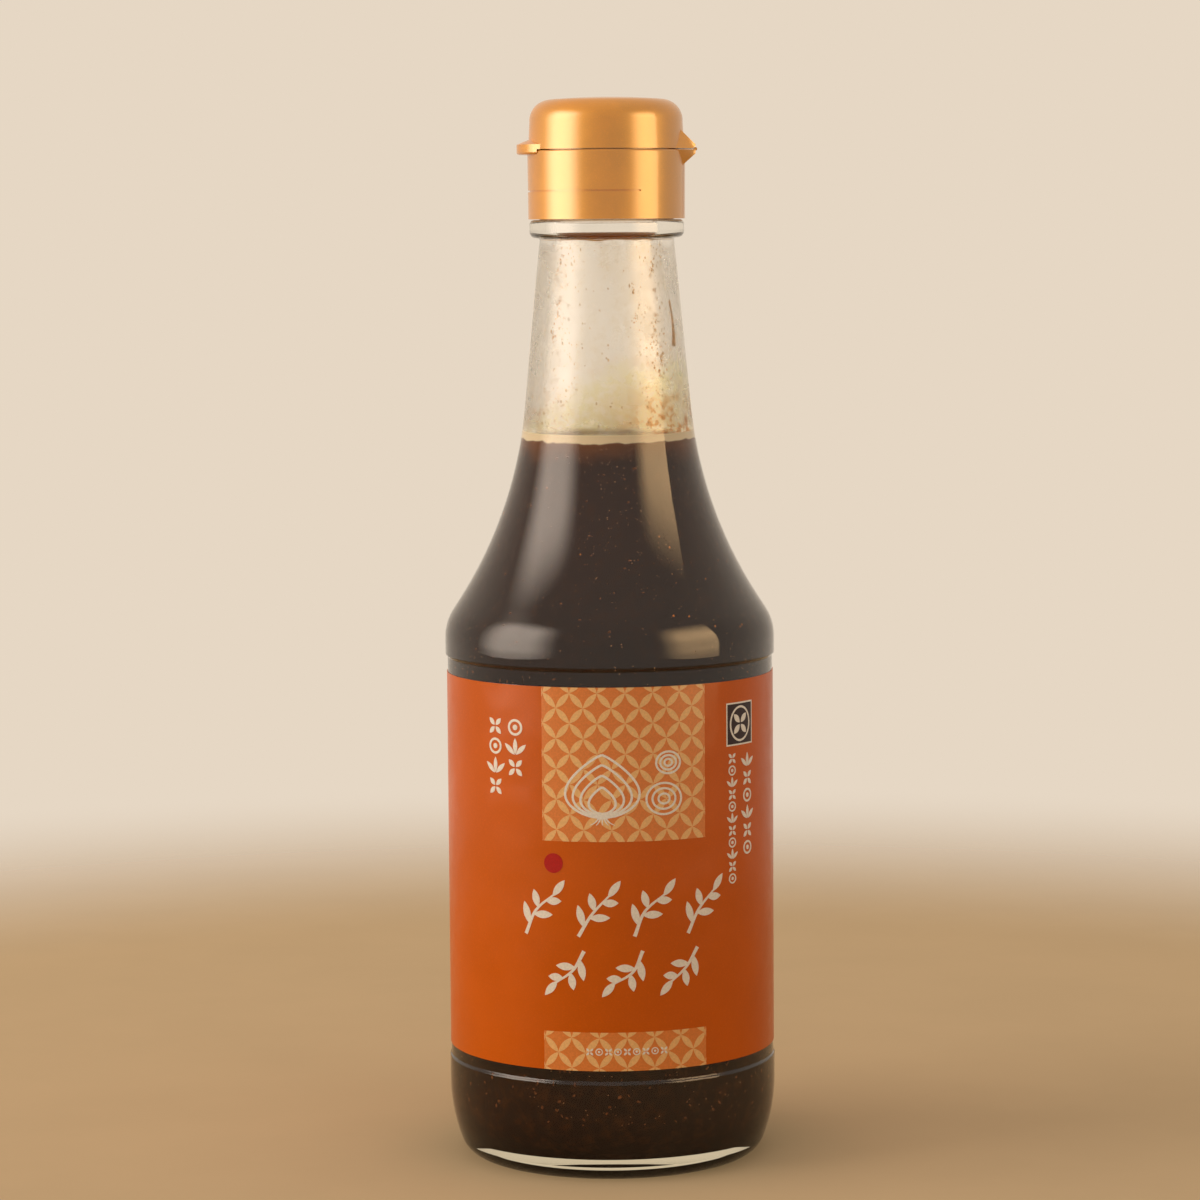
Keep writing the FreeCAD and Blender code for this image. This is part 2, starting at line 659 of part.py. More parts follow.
def make_lid(doc, s, at):
    """The flip-top: a thin domed shell with thumb tab, sealing pin and hinge half."""
    body = new_body(doc, "lid")
    shoulder_z = at.lid_top - s.lid_crown - s.lid_corner
    shoulder_r = at.lid_radius - s.lid_draft
    brow = (shoulder_r - s.lid_corner, at.lid_top - s.lid_crown)
    crown = s.lid_crown.value
    crown_centre = at.lid_top.value - (brow[0].value ** 2 + crown ** 2) / (2 * crown)
    outline = Outline(body, "lid_blank_outline", (ZERO, at.lid_bottom))
    outline.line(at.lid_radius, at.lid_bottom)
    outline.line(shoulder_r, shoulder_z)
    outline.arc(*brow, centre=(brow[0].value, shoulder_z.value), radius=s.lid_corner)
    outline.arc(ZERO, at.lid_top, centre=(ZERO, crown_centre))
    turn(body, outline.close(), "lid_blank")
    add_ear(body, s, at, "lid_ear", at.lid_bottom, s.lid_ear_rise)
    seat = hinge_circle(body, s, at, "hinge_seat_section", s.hinge_bead + s.bead_clearance)
    straight(body, "Pocket", "hinge_seat", seat, s.ear_root * 2)
    add_tab(body, s, at)

    # hollow inside, then the pin that shuts the spout
    inside = Outline(body, "lid_hollow_outline", (ZERO, at.lid_bottom))
    inner_corner = s.lid_corner - s.lid_wall
    inner_shoulder = at.lid_inside - s.lid_draft
    inner_brow = inner_shoulder - inner_corner
    inside.line(at.lid_inside, at.lid_bottom)
    inside.line(inner_shoulder, at.ceiling - inner_corner)
    inside.arc(inner_brow, at.ceiling, radius=inner_corner,
               centre=(inner_brow.value, (at.ceiling - inner_corner).value))
    inside.line(ZERO, at.ceiling)
    turn(body, inside.close(), "lid_hollow", cut=True)
    pin_radius = s.spout_bore - s.pin_clearance
    pin = box_outline(body, "pin_outline", (pin_radius - s.pin_wall, at.spout_top - s.pin_entry),
                      (pin_radius, at.ceiling + s.lid_wall / 2))
    turn(body, pin, "pin")
    return body


def add_tab(body, s, at):
    """The thumb tab: part of a low round cone that overhangs the collar's skirt."""
    middle = at.cap_radius + s.tab_reach - s.tab_radius
    low = at.seam - s.tab_drop
    edge_top = low + s.tab_edge
    slope_run = s.tab_reach + s.lid_set
    outline = Outline(body, "tab_section", (-middle, low))
    outline.line(-(middle + s.tab_radius - s.tab_round), low)
    outline.arc(-(middle + s.tab_radius), low + s.tab_round, clockwise=True, radius=s.tab_round,
                centre=(-(middle + s.tab_radius - s.tab_round).value, (low + s.tab_round).value))
    outline.line(-(middle + s.tab_radius), edge_top)
    outline.line(-(middle + s.tab_radius - slope_run), edge_top + s.tab_rise)
    outline.line(-middle, edge_top + s.tab_rise)
    sketch = outline.close()
    axis = sketch.addGeometry(Part.LineSegment(V(-middle.value, low.value, 0),
                                               V(-middle.value, edge_top.value, 0)), True)
    for point in (1, 2):
        index = sketch.addConstraint(Sketcher.Constraint("DistanceX", axis, point, -middle.value))
        sketch.setExpression(f"Constraints[{index}]", (-middle).text)
    for point, height in ((1, low), (2, edge_top)):
        index = sketch.addConstraint(Sketcher.Constraint("DistanceY", axis, point, height.value))
        sketch.setExpression(f"Constraints[{index}]", height.text)
    tab = body.newObject("PartDesign::Revolution", "tab")
    tab.Profile = sketch
    tab.ReferenceAxis = (sketch, ["Axis0"])
    tab.Angle = 360
    settle(body)

    # the tab hangs outside the skirt and clears it all round
    clear = box_outline(body, "tab_clearance_outline", (ZERO, low - s.tab_drop),
                        (at.cap_radius + s.cap_clearance, at.lid_bottom))
    turn(body, clear, "tab_clearance", cut=True)


# ---- document, checks and export ----

def check(doc, bodies):
    """Raise if any object failed or any piece is missing or broken."""
    for item in doc.Objects:
        if {"Invalid", "Error"} & set(item.State):
            raise RuntimeError(f"{item.Label}: {item.State}")
        if item.TypeId == "Sketcher::SketchObject" and not item.FullyConstrained:
            raise RuntimeError(f"{item.Label} is not fully constrained")
    for body in bodies:
        shape = body.Shape
        if shape.isNull() or not shape.isValid() or len(shape.Solids) != 1:
            raise RuntimeError(f"{body.Label} is not one valid solid")
        print(f"{body.Label}: {shape.Volume / 1000:.3f} ml, {len(shape.Faces)} faces")


def main():
    doc = FreeCAD.newDocument("sauce_bottle")
    sizes = Sheet(doc)
    doc.recompute()
    levels = Levels(sizes)
    makers = (make_bottle, make_sauce, make_label, make_collar, make_lid)
    bodies = [make(doc, sizes, levels) for make in makers]
    doc.recompute()
    check(doc, bodies)
    os.makedirs("parts", exist_ok=True)
    for body in bodies:
        body.Shape.exportStep(f"parts/{body.Label}.step")


main()
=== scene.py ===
"""A glass bottle of onion sauce with a printed paper label and a gold flip-top cap.

The file is laid out as an add-on.  Metres; +Z is up and the front of the label faces -Y.
A place on the round of the bottle is given by its turn from the front, to the right.
"""

import math
import random

import bmesh
import bpy
import numpy as np
from bpy.props import (FloatProperty, FloatVectorProperty, IntProperty, PointerProperty)
from mathutils import Matrix, Vector, noise


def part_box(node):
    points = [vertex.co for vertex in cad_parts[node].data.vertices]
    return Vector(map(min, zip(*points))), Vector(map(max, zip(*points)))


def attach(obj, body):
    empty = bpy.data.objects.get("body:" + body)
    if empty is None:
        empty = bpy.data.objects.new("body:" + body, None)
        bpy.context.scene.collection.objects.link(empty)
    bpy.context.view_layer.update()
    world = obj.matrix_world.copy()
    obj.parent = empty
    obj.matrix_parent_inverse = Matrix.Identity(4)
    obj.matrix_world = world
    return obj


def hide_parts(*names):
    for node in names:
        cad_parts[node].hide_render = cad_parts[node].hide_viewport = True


bl_info = {
    "name": "Onion Sauce Bottle",
    "version": (1, 0, 0),
    "blender": (4, 5, 0),
    "location": "3D View > Sidebar > Sauce Bottle",
    "description": "Dresses a bottle of onion sauce: glass, sauce, label, cap and studio",
    "category": "Object",
}

MM = 0.001
LAMP_DISTANCE = 0.72
EVEN_LIGHT = (1.0, 0.94, 0.86, 1.0)
PAPER_CREASE = math.radians(40)
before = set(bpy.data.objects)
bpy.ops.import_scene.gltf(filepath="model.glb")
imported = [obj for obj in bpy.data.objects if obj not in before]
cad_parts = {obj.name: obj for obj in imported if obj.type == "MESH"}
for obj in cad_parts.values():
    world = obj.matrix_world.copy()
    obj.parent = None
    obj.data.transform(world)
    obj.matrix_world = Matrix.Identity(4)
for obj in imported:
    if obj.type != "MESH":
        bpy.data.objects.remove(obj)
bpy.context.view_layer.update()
GLASS_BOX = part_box("bottle")
SAUCE_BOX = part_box("sauce")
LABEL_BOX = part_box("label")


# ---- settings that a user would change ----

def length(name, description, millimetres):
    """A length setting whose default is written in millimetres."""
    return FloatProperty(name=name, description=description, default=millimetres * MM,
                         unit="LENGTH", precision=5)


def angle(name, description, degrees):
    """An angle setting whose default is written in degrees."""
    return FloatProperty(name=name, description=description, default=math.radians(degrees),
                         unit="ROTATION", subtype="ANGLE")


def share(name, description, value):
    """A setting that is a share or a plain strength."""
    return FloatProperty(name=name, description=description, default=value, min=0.0)


def colour(name, description, red, green, blue):
    """A colour setting, written as it looks on a screen, from 0 to 255."""
    def linear(level):
        level /= 255
        return level / 12.92 if level <= 0.04045 else ((level + 0.055) / 1.055) ** 2.4
    return FloatVectorProperty(name=name, description=description, subtype="COLOR", size=3,
                               default=(linear(red), linear(green), linear(blue)), min=0, max=1)


class GlassSettings(bpy.types.PropertyGroup):
    """Sizes of the glass bottle that its box doesn't give, and its tint."""

    segments: IntProperty(name="Segments", description="Faces round the bottle", default=224)
    heel_radius: length("Heel", "Round between the bearing ring and the side", 5.0)
    foot_radius: length("Foot curve", "Long curve from the heel to the lower band", 35.0)
    foot_height: length("Foot height", "Where the side becomes upright", 15.5)
    ring_width: length("Bearing ring", "Flat ring that the bottle stands on", 3.0)
    punt: length("Punt", "Hollow under the base", 3.0)
    low_band: length("Lower band", "How far the lower contact band stands out", 0.3)
    low_band_height: length("Lower band height", "Upright length of that band", 4.9)
    top_band: length("Upper band", "How far the upper contact band stands out", 0.43)
    top_band_height: length("Upper band height", "Upright length of that band", 3.3)
    band_step: length("Band step", "Slope between a band and the label panel", 0.4)
    wall: length("Wall", "Thickness of the side", 2.75)
    base_thickness: length("Base", "Thickness on the axis", 3.4)
    floor_dome: length("Floor dome", "Radius of the domed inside floor", 120.0)
    inner_heel: length("Inner heel", "Round between the floor and the inner wall", 9.0)
    shoulder_height: length("Shoulder height", "Where the shoulder turns in", 105.9)
    shoulder_radius: length("Shoulder radius", "Turn of the shoulder", 10.28)
    shoulder_lean: angle("Shoulder lean", "Lean of the shoulder from upright", 33.0)
    shoulder_flat: length("Shoulder flat", "Straight part of the shoulder", 2.5)
    neck_lean: angle("Neck lean", "Lean of the neck from upright", 5.52)
    neck_wall: length("Neck wall", "Wall at the top of the neck", 3.0)
    neck_step: length("Neck step", "Top of the neck, proud of the mouth", 0.3)
    finish_radius: length("Mouth", "Outside radius of the mouth", 13.2)
    finish_wall: length("Mouth wall", "Wall of the mouth", 3.6)
    bore_step: length("Bore step", "Height over which the bore narrows above the bead", 2.5)
    skirt_drop: length("Cap skirt", "Rim of the mouth down to the transfer bead", 11.55)
    bead_reach: length("Transfer bead", "How far the bead under the cap stands out", 2.35)
    bead_depth: length("Bead depth", "Top to bottom of that bead", 3.65)
    bead_round: length("Bead round", "Rounding of the bead's lower edge", 1.3)
    bead_corner: length("Bead corner", "Rounding of the bead's upper edge", 0.9)
    mould_softness: length("Mould softness", "Rounding of the small corners that a mould leaves", 0.6)
    tint: colour("Tint", "Colour of thick glass", 222, 214, 172)
    tint_depth: share("Tint depth", "Strength of the tint in each metre of glass", 14.0)
    smear_inside: share("Smear inside", "Roughness of the smeared inside of the empty neck", 0.5)
    smear_outside: share("Smear outside", "Roughness of the handled outside of the neck", 0.28)
    stipple: share("Stipple", "Roughness of the stippled ring that the bottle stands on", 0.26)


class SauceSettings(bpy.types.PropertyGroup):
    """The filling and what floats in it."""

    overlap: length("Overlap", "How far the sauce reaches into the glass wall", 0.12)
    meniscus: length("Meniscus", "How far the sauce climbs the wall", 0.7)
    deep: colour("Deep colour", "Sauce in the body of the bottle", 30, 10, 5)
    # The neck colour is lighter than the deep colour. It is a painted glow of light shining through the
    # narrower neck of sauce.
    middle: colour("Neck colour", "Sauce in the neck", 42, 17, 9)
    # The colour at the level is a painted amber glow of light through the shallow sauce under the
    # surface. It also tints the pulp streaks and the sauce's top surface.
    glow_and_pulp_amber: colour("Colour at the level", "Thin sauce just under the surface", 104, 54, 8)
    # The amber depth is how far below the level that painted glow reaches.
    amber_depth: length("Amber depth", "How far below the level the sauce stays amber", 6.0)
    bits: IntProperty(name="Onion bits", description="Bits of onion against the glass", default=420)
    flecks: IntProperty(name="Flecks", description="Fine pale flecks", default=2200)
    sparks: IntProperty(name="Orange flecks", description="Larger orange flecks", default=26)
    seed: IntProperty(name="Seed", description="Chooses where the bits lie", default=7)
    froth_colour: colour("Froth", "Colour of the pale line along the level", 240, 212, 170)
    bit_colour: colour("Bit colour", "Bits of onion in the sauce", 110, 58, 22)
    fleck_colour: colour("Fleck colour", "Fine flecks in the sauce", 196, 134, 84)
    spark_colour: colour("Orange fleck colour", "Larger flecks in the sauce", 214, 120, 40)


class FilmSettings(bpy.types.PropertyGroup):
    """The creamy film and the dried traces that the sauce leaves on the empty neck."""

    film_height: length("Film height", "How far the creamy film climbs above the level", 12.5)
    film_depth: length("Film thickness", "Thickest part of the film", 0.22)
    film_colour: colour("Film", "Creamy film over the level", 255, 250, 196)
    haze_colour: colour("Haze", "Thin whitish haze on the glass above the film", 255, 246, 230)
    trace_colour: colour("Traces", "Orange-brown traces in the film", 220, 154, 66)
    drop_colour: colour("Drops", "Amber drops in the film", 232, 188, 118)
    dried_colour: colour("Dried traces", "Dried sauce on the neck", 226, 160, 72)
    drops: IntProperty(name="Drops", description="Drops in the creamy film", default=150)
    specks: IntProperty(name="Specks", description="Dried specks on the neck", default=130)
    seed: IntProperty(name="Seed", description="Chooses where the drops lie", default=11)


class LabelSettings(bpy.types.PropertyGroup):
    """The paper label and the print on it."""

    thickness: length("Thickness", "Paper and glue", 0.15)
    back_gap: length("Back gap", "Gap between the label's ends at the back", 8.0)
    ink_step: length("Ink step", "How far each layer of print stands out", 0.025)
    turn: angle("Turn", "Turn of the print's middle from the front", 4.9)
    paper: colour("Paper", "Orange ground of the label", 209, 92, 0)
    field: colour("Field", "Ground of the patterned fields", 234, 134, 62)
    petal: colour("Petals", "Petals of the pattern", 250, 192, 122)
    cream: colour("Cream", "Line work and strokes", 250, 236, 216)
    plum: colour("Plum", "Badge", 44, 12, 10)
    red: colour("Red", "Red dot", 190, 24, 14)
    field_width: length("Field width", "Width of the patterned fields", 33.5)
    field_foot: length("Field foot", "Label's lower edge up to the large field", 45.6)
    strip_height: length("Strip height", "Height of the patterned strip at the foot", 7.7)
    cell_width: length("Pattern cell", "Width of one cell of the pattern", 5.5)
    cell_height: length("Pattern rise", "Height of one cell of the pattern", 6.0)
    petal_width: length("Petal width", "Widest part of a petal", 1.3)


class CapSettings(bpy.types.PropertyGroup):
    """The finish of the gold cap."""

    gold: colour("Gold", "Colour of the gold plastic", 218, 128, 0)
    sheen: colour("Sheen", "Colour of the broad highlight on the gold plastic", 255, 220, 118)
    skirt_roughness: share("Skirt roughness", "Roughness of the press-on part", 0.36)
    lid_roughness: share("Lid roughness", "Roughness of the flip-top lid", 0.39)


class StudioSettings(bpy.types.PropertyGroup):
    """Camera, lamps, floor and backdrop."""

    lens: FloatProperty(name="Lens", description="Focal length for a 36 mm sensor, in millimetres",
                        default=117.44)
    camera_distance: length("Camera distance", "From the bottle's axis", 791.0)
    camera_height: length("Camera height", "Above the table", 189.4)
    camera_aside: length("Camera aside", "To the left of the bottle", 1.9)
    camera_tilt: angle("Camera tilt", "How far it looks down", 5.509)
    camera_roll: angle("Camera roll", "Turn to the right about the line of sight", 0.42)
    floor_colour: colour("Floor", "Pale floor", 203, 172, 132)
    wall_colour: colour("Backdrop", "Pale wall", 230, 215, 196)
    floor_clear: length("Clear floor", "Round the bottle, before the floor fades", 250.0)
    floor_reach: length("Floor reach", "Where the floor has faded into the backdrop", 520.0)
    ambient: share("Ambient", "Even light from all round", 0.5)


SETTINGS = {
    "bottle_glass": GlassSettings,
    "bottle_sauce": SauceSettings,
    "bottle_film": FilmSettings,
    "bottle_label": LabelSettings,
    "bottle_cap": CapSettings,
    "bottle_studio": StudioSettings,
}


# ---- outlines, as lists of (radius, height) ----

def arc_between(centre, start, end, step=math.radians(3)):
    """Points on the shorter arc about a centre from one point to another, ends included."""
    first = math.atan2(start[1] - centre[1], start[0] - centre[0])
    last = math.atan2(end[1] - centre[1], end[0] - centre[0])
    turn = (last - first + math.pi) % (2 * math.pi) - math.pi
    radius = math.dist(centre, start)
    count = max(2, math.ceil(abs(turn) / step))
    return [(centre[0] + radius * math.cos(first + turn * i / count),
             centre[1] + radius * math.sin(first + turn * i / count)) for i in range(count + 1)]


def eased(points, radius, least=math.radians(12)):
    """The outline with each corner that turns by more than the least angle rounded."""
    soft = [points[0]]
    for before, corner, after in zip(points, points[1:], points[2:]):
        come = Vector(before) - Vector(corner)
        go = Vector(after) - Vector(corner)
        opening = come.angle(go, math.pi)
        if math.pi - opening < least:
            soft.append(corner)
            continue
        reach = min(radius / math.tan(opening / 2), 0.45 * come.length, 0.45 * go.length)
        start = Vector(corner) + come.normalized() * reach
        end = Vector(corner) + go.normalized() * reach
        middle = (come.normalized() + go.normalized()).normalized()
        centre = Vector(corner) + middle * (reach / math.cos(opening / 2))
        soft += arc_between(tuple(centre), tuple(start), tuple(end), math.radians(12))
    return soft + [points[-1]]


def moved_out(points, amount):
    """The outline with each point moved square to it, away from the axis."""
    result = []
    for i, (radius, height) in enumerate(points):
        before = Vector(points[max(i - 1, 0)])
        after = Vector(points[min(i + 1, len(points) - 1)])
        along = (after - before).normalized()
        out = Vector((along.y, -along.x)) * amount
        result.append((radius + out.x if radius > 1e-9 else 0.0, height + out.y))
    return result


def divided(points, longest):
    """The outline with its long runs cut into shorter ones."""
    result = [points[0]]
    for start, end in zip(points, points[1:]):
        count = max(1, math.ceil(math.dist(start, end) / longest))
        result += [tuple(Vector(start).lerp(Vector(end), i / count)) for i in range(1, count + 1)]
    return result


def shoulder_outline(radius, height, turn_radius, lean, flat, neck_radius, neck_height, neck_lean):
    """Turn of the shoulder, its straight part and the hollow curve up to the straight neck."""
    centre = (radius - turn_radius, height)
    top = (centre[0] + turn_radius * math.cos(lean), height + turn_radius * math.sin(lean))
    foot = (top[0] - flat * math.sin(lean), top[1] + flat * math.cos(lean))
    reach = foot[0] + foot[1] * math.tan(lean)
    crossing = reach - neck_radius - neck_height * math.tan(neck_lean)
    cross_height = crossing / (math.tan(lean) - math.tan(neck_lean))
    cross = (reach - cross_height * math.tan(lean), cross_height)
    run = math.dist(cross, foot)
    neck_start = (cross[0] - run * math.sin(neck_lean), cross[1] + run * math.cos(neck_lean))
    hollow = run / math.tan((lean - neck_lean) / 2)
    hollow_centre = (foot[0] + hollow * math.cos(lean), foot[1] + hollow * math.sin(lean))
    return (arc_between(centre, (radius, height), top)
            + arc_between(hollow_centre, foot, neck_start, math.radians(1)))


class GlassLevels:
    """Heights and radii of the glass, from its box and its settings."""

    def __init__(self, g):
        self.rim = GLASS_BOX[1].z
        self.body = LABEL_BOX[1].x - bpy.context.scene.bottle_label.thickness
        self.low = self.body + g.low_band
        self.high = self.body + g.top_band
        self.panel_bottom = g.foot_height + g.low_band_height + g.band_step
        self.panel_top = g.shoulder_height - g.top_band_height - g.band_step
        self.bead_top = self.rim - g.skirt_drop
        self.bead_bottom = self.bead_top - g.bead_depth
        self.bead_radius = g.finish_radius + g.bead_reach
        self.neck = g.finish_radius + g.neck_step
        self.bore = g.finish_radius - g.finish_wall
        self.floor = g.punt + g.base_thickness


def outside_outline(g, at):
    """The glass from the middle of its base up its outside to the rim."""
    side = (at.low - g.foot_radius, g.foot_height)
    gap = g.foot_radius - g.heel_radius
    heel = (side[0] + math.sqrt(gap ** 2 - (g.foot_height - g.heel_radius) ** 2), g.heel_radius)
    meet = tuple(s + (c - s) * g.foot_radius / gap for s, c in zip(side, heel))
    ring_inner = heel[0] - g.ring_width
    punt_centre = (0.0, g.punt - (ring_inner ** 2 + g.punt ** 2) / (2 * g.punt))
    bead_start = at.bead_radius - g.bead_round
    bead_end = at.bead_radius - g.bead_corner
    return (
        arc_between(punt_centre, (0.0, g.punt), (ring_inner, 0.0))
        + arc_between(heel, (heel[0], 0.0), meet)
        + arc_between(side, meet, (at.low, g.foot_height))
        + [(at.low, at.panel_bottom - g.band_step), (at.body, at.panel_bottom),
           (at.body, at.panel_top), (at.high, at.panel_top + g.band_step)]
        + shoulder_outline(at.high, g.shoulder_height, g.shoulder_radius, g.shoulder_lean,
                           g.shoulder_flat, at.neck, at.bead_bottom, g.neck_lean)
        + [(at.neck, at.bead_bottom)]
        + arc_between((bead_start, at.bead_bottom + g.bead_round), (bead_start, at.bead_bottom),
                      (at.bead_radius, at.bead_bottom + g.bead_round), math.radians(9))
        + arc_between((bead_end, at.bead_top - g.bead_corner),
                      (at.bead_radius, at.bead_top - g.bead_corner), (bead_end, at.bead_top),
                      math.radians(9))
        + [(g.finish_radius, at.bead_top), (g.finish_radius, at.rim)]
    )


def inside_outline(g, at):
    """The space inside the glass, from the middle of its floor up to the rim."""
    inner = at.body - g.wall
    side = at.high - g.wall
    dome = at.floor - g.floor_dome
    heel_r = inner - g.inner_heel
    heel_z = dome + math.sqrt((g.floor_dome + g.inner_heel) ** 2 - heel_r ** 2)
    part = g.floor_dome / (g.floor_dome + g.inner_heel)
    floor_edge = (heel_r * part, dome + (heel_z - dome) * part)
    return (
        arc_between((0.0, dome), (0.0, at.floor), floor_edge, math.radians(1))
        + arc_between((heel_r, heel_z), floor_edge, (inner, heel_z))[1:]
        + [(inner, at.panel_top), (side, at.panel_top + g.band_step)]
        + shoulder_outline(side, g.shoulder_height, g.shoulder_radius - g.wall, g.shoulder_lean,
                           g.shoulder_flat, at.neck - g.neck_wall, at.bead_bottom, g.neck_lean)
        + [(at.neck - g.neck_wall, at.bead_bottom), (at.neck - g.neck_wall, at.bead_top),
           (at.bore, at.bead_top + g.bore_step), (at.bore, at.rim)]
    )


def radius_at(outline, height):
    """Radius of the upper part of an outline at a height."""
    for (r0, z0), (r1, z1) in zip(reversed(outline[:-1]), reversed(outline[1:])):
        if z0 <= height <= z1 and z1 > z0:
            return r0 + (r1 - r0) * (height - z0) / (z1 - z0)
    return outline[-1][0]


# ---- meshes ----

def turned(outline, segments):
    """Points and faces of an outline turned about the axis, from axis to axis."""
    points, rings = [], []
    for radius, height in outline:
        if radius < 1e-7:
            rings.append([len(points)])
            points.append((0.0, 0.0, height))
            continue
        rings.append(list(range(len(points), len(points) + segments)))
        for i in range(segments):
            turn = 2 * math.pi * i / segments
            points.append((radius * math.sin(turn), -radius * math.cos(turn), height))
    faces = []
    for low, high in zip(rings, rings[1:]):
        for i in range(segments):
            j = (i + 1) % segments
            corners = [low[i % len(low)], low[j % len(low)], high[j % len(high)], high[i % len(high)]]
            corners = list(dict.fromkeys(corners))
            if len(corners) > 2:
                faces.append(corners)
    return points, faces


def make_piece(name, points, faces, materials, body="bottle", crease=None):
    """A smooth mesh piece that rides on a body, with its faces turned outwards."""
    mesh = bpy.data.meshes.new(name)
    mesh.from_pydata([tuple(p) for p in points], [], faces)
    mesh.validate()
    shape = bmesh.new()
    shape.from_mesh(mesh)
    bmesh.ops.recalc_face_normals(shape, faces=shape.faces)
    shape.to_mesh(mesh)
    shape.free()
    mesh.shade_smooth()
    if crease is not None:
        mesh.set_sharp_from_angle(angle=crease)
    for material in materials:
        mesh.materials.append(material)
    piece = bpy.data.objects.new(name, mesh)
    bpy.context.scene.collection.objects.link(piece)
    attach(piece, body)
    return piece


def band_faces(columns):
    """Faces of a band whose columns hold outer low, outer high, inner low and inner high."""
    faces = [[0, 1, 3, 2], [4 * columns + i for i in (2, 3, 1, 0)]]
    for i in range(columns):
        a, b = 4 * i, 4 * i + 4
        faces += [[a, b, b + 1, a + 1], [a + 3, b + 3, b + 2, a + 2],
                  [a + 2, b + 2, b, a], [a + 1, b + 1, b + 3, a + 3]]
    return faces


class Heap:
    """Points and faces of many small shapes joined into one mesh."""

    def __init__(self):
        self.points = []
        self.faces = []

    def add(self, points, faces):
        start = len(self.points)
        self.points += [tuple(p) for p in points]
        self.faces += [[start + i for i in face] for face in faces]


def pebble(rng, detail=1, roughness=0.25):
    """Points and faces of an uneven ball of radius one."""
    ball = bmesh.new()
    bmesh.ops.create_icosphere(ball, subdivisions=detail, radius=1.0)
    points = [v.co * (1 + rng.uniform(-roughness, roughness)) for v in ball.verts]
    faces = [[v.index for v in f.verts] for f in ball.faces]
    ball.free()
    return points, faces


def on_wall(outline, turn, height, sink):
    """Place and axes (outwards, sideways, upwards) on the inside of the glass."""
    radius = radius_at(outline, height) + sink
    out = Vector((math.sin(turn), -math.cos(turn), 0.0))
    return out * radius + Vector((0, 0, height)), out, Vector((math.cos(turn), math.sin(turn), 0.0))


def add_lump(heap, rng, outline, turn, height, sizes, sink, spin=0.0, detail=1, roughness=0.25):
    """A lump against the glass; sizes are its depth, width and height."""
    place, out, side = on_wall(outline, turn, height, sink)
    up = Vector((0, 0, 1))
    across = side * math.cos(spin) + up * math.sin(spin)
    along = up * math.cos(spin) - side * math.sin(spin)
    points, faces = pebble(rng, detail, roughness)
    heap.add([place + out * p.x * sizes[0] + across * p.y * sizes[1] + along * p.z * sizes[2]
              for p in points], faces)


# ---- materials ----

def new_material(name):
    """An empty node material and its tree."""
    material = bpy.data.materials.new(name)
    material.use_nodes = True
    material.node_tree.nodes.clear()
    return material, material.node_tree


def finished(material, shader, volume=None):
    """The material, showing a shader on its surface and perhaps another inside it."""
    tree = material.node_tree
    output = tree.nodes.new("ShaderNodeOutputMaterial")
    tree.links.new(shader.outputs[0], output.inputs["Surface"])
    if volume is not None:
        tree.links.new(volume.outputs[0], output.inputs["Volume"])
    return material


def add_node(tree, kind, links=None, **values):
    """A node with its inputs set by name or number, and linked to other nodes' outputs."""
    node = tree.nodes.new(kind)
    for name, value in values.items():
        setattr(node, name, value)
    for name, value in (links or {}).items():
        if isinstance(value, bpy.types.NodeSocket):
            tree.links.new(value, node.inputs[name])
        else:
            node.inputs[name].default_value = value
    return node


def maths(tree, operation, *values):
    """The output of a sum on values or outputs."""
    return add_node(tree, "ShaderNodeMath", dict(enumerate(values)), operation=operation).outputs[0]


def own_place(tree):
    """The place of what is shaded, in its object's own frame."""
    return add_node(tree, "ShaderNodeTexCoord").outputs["Object"]


def height_of(tree, place):
    """The height of a place."""
    return add_node(tree, "ShaderNodeSeparateXYZ", {0: place}).outputs["Z"]


def rgba(rgb):
    """A colour with full alpha."""
    return (*rgb, 1.0)


def place_noise(tree, scale, detail=3.0, roughness=0.55):
    """Noise that is fixed to the object's own frame; scale is in cycles a metre."""
    position = own_place(tree)
    return add_node(tree, "ShaderNodeTexNoise", {
        "Vector": position, "Scale": scale, "Detail": detail, "Roughness": roughness}).outputs["Fac"]


def mixed(tree, factor, first, second):
    """A mix of two colours or colour outputs."""
    mix = add_node(tree, "ShaderNodeMix", data_type="RGBA")
    for socket, value in ((0, factor), (6, first), (7, second)):
        if isinstance(value, bpy.types.NodeSocket):
            tree.links.new(value, mix.inputs[socket])
        else:
            mix.inputs[socket].default_value = value
    return mix.outputs[2]


def ranged(tree, value, low, high, new_low=0.0, new_high=1.0):
    """A value moved smoothly from one range to another."""
    return add_node(tree, "ShaderNodeMapRange", {
        "Value": value, "From Min": low, "From Max": high, "To Min": new_low, "To Max": new_high},
        interpolation_type="SMOOTHSTEP").outputs["Result"]


def bumped(tree, height, distance, strength=1.0):
    """A bump of a height in metres."""
    return add_node(tree, "ShaderNodeBump", {
        "Height": height, "Distance": distance, "Strength": strength}).outputs["Normal"]


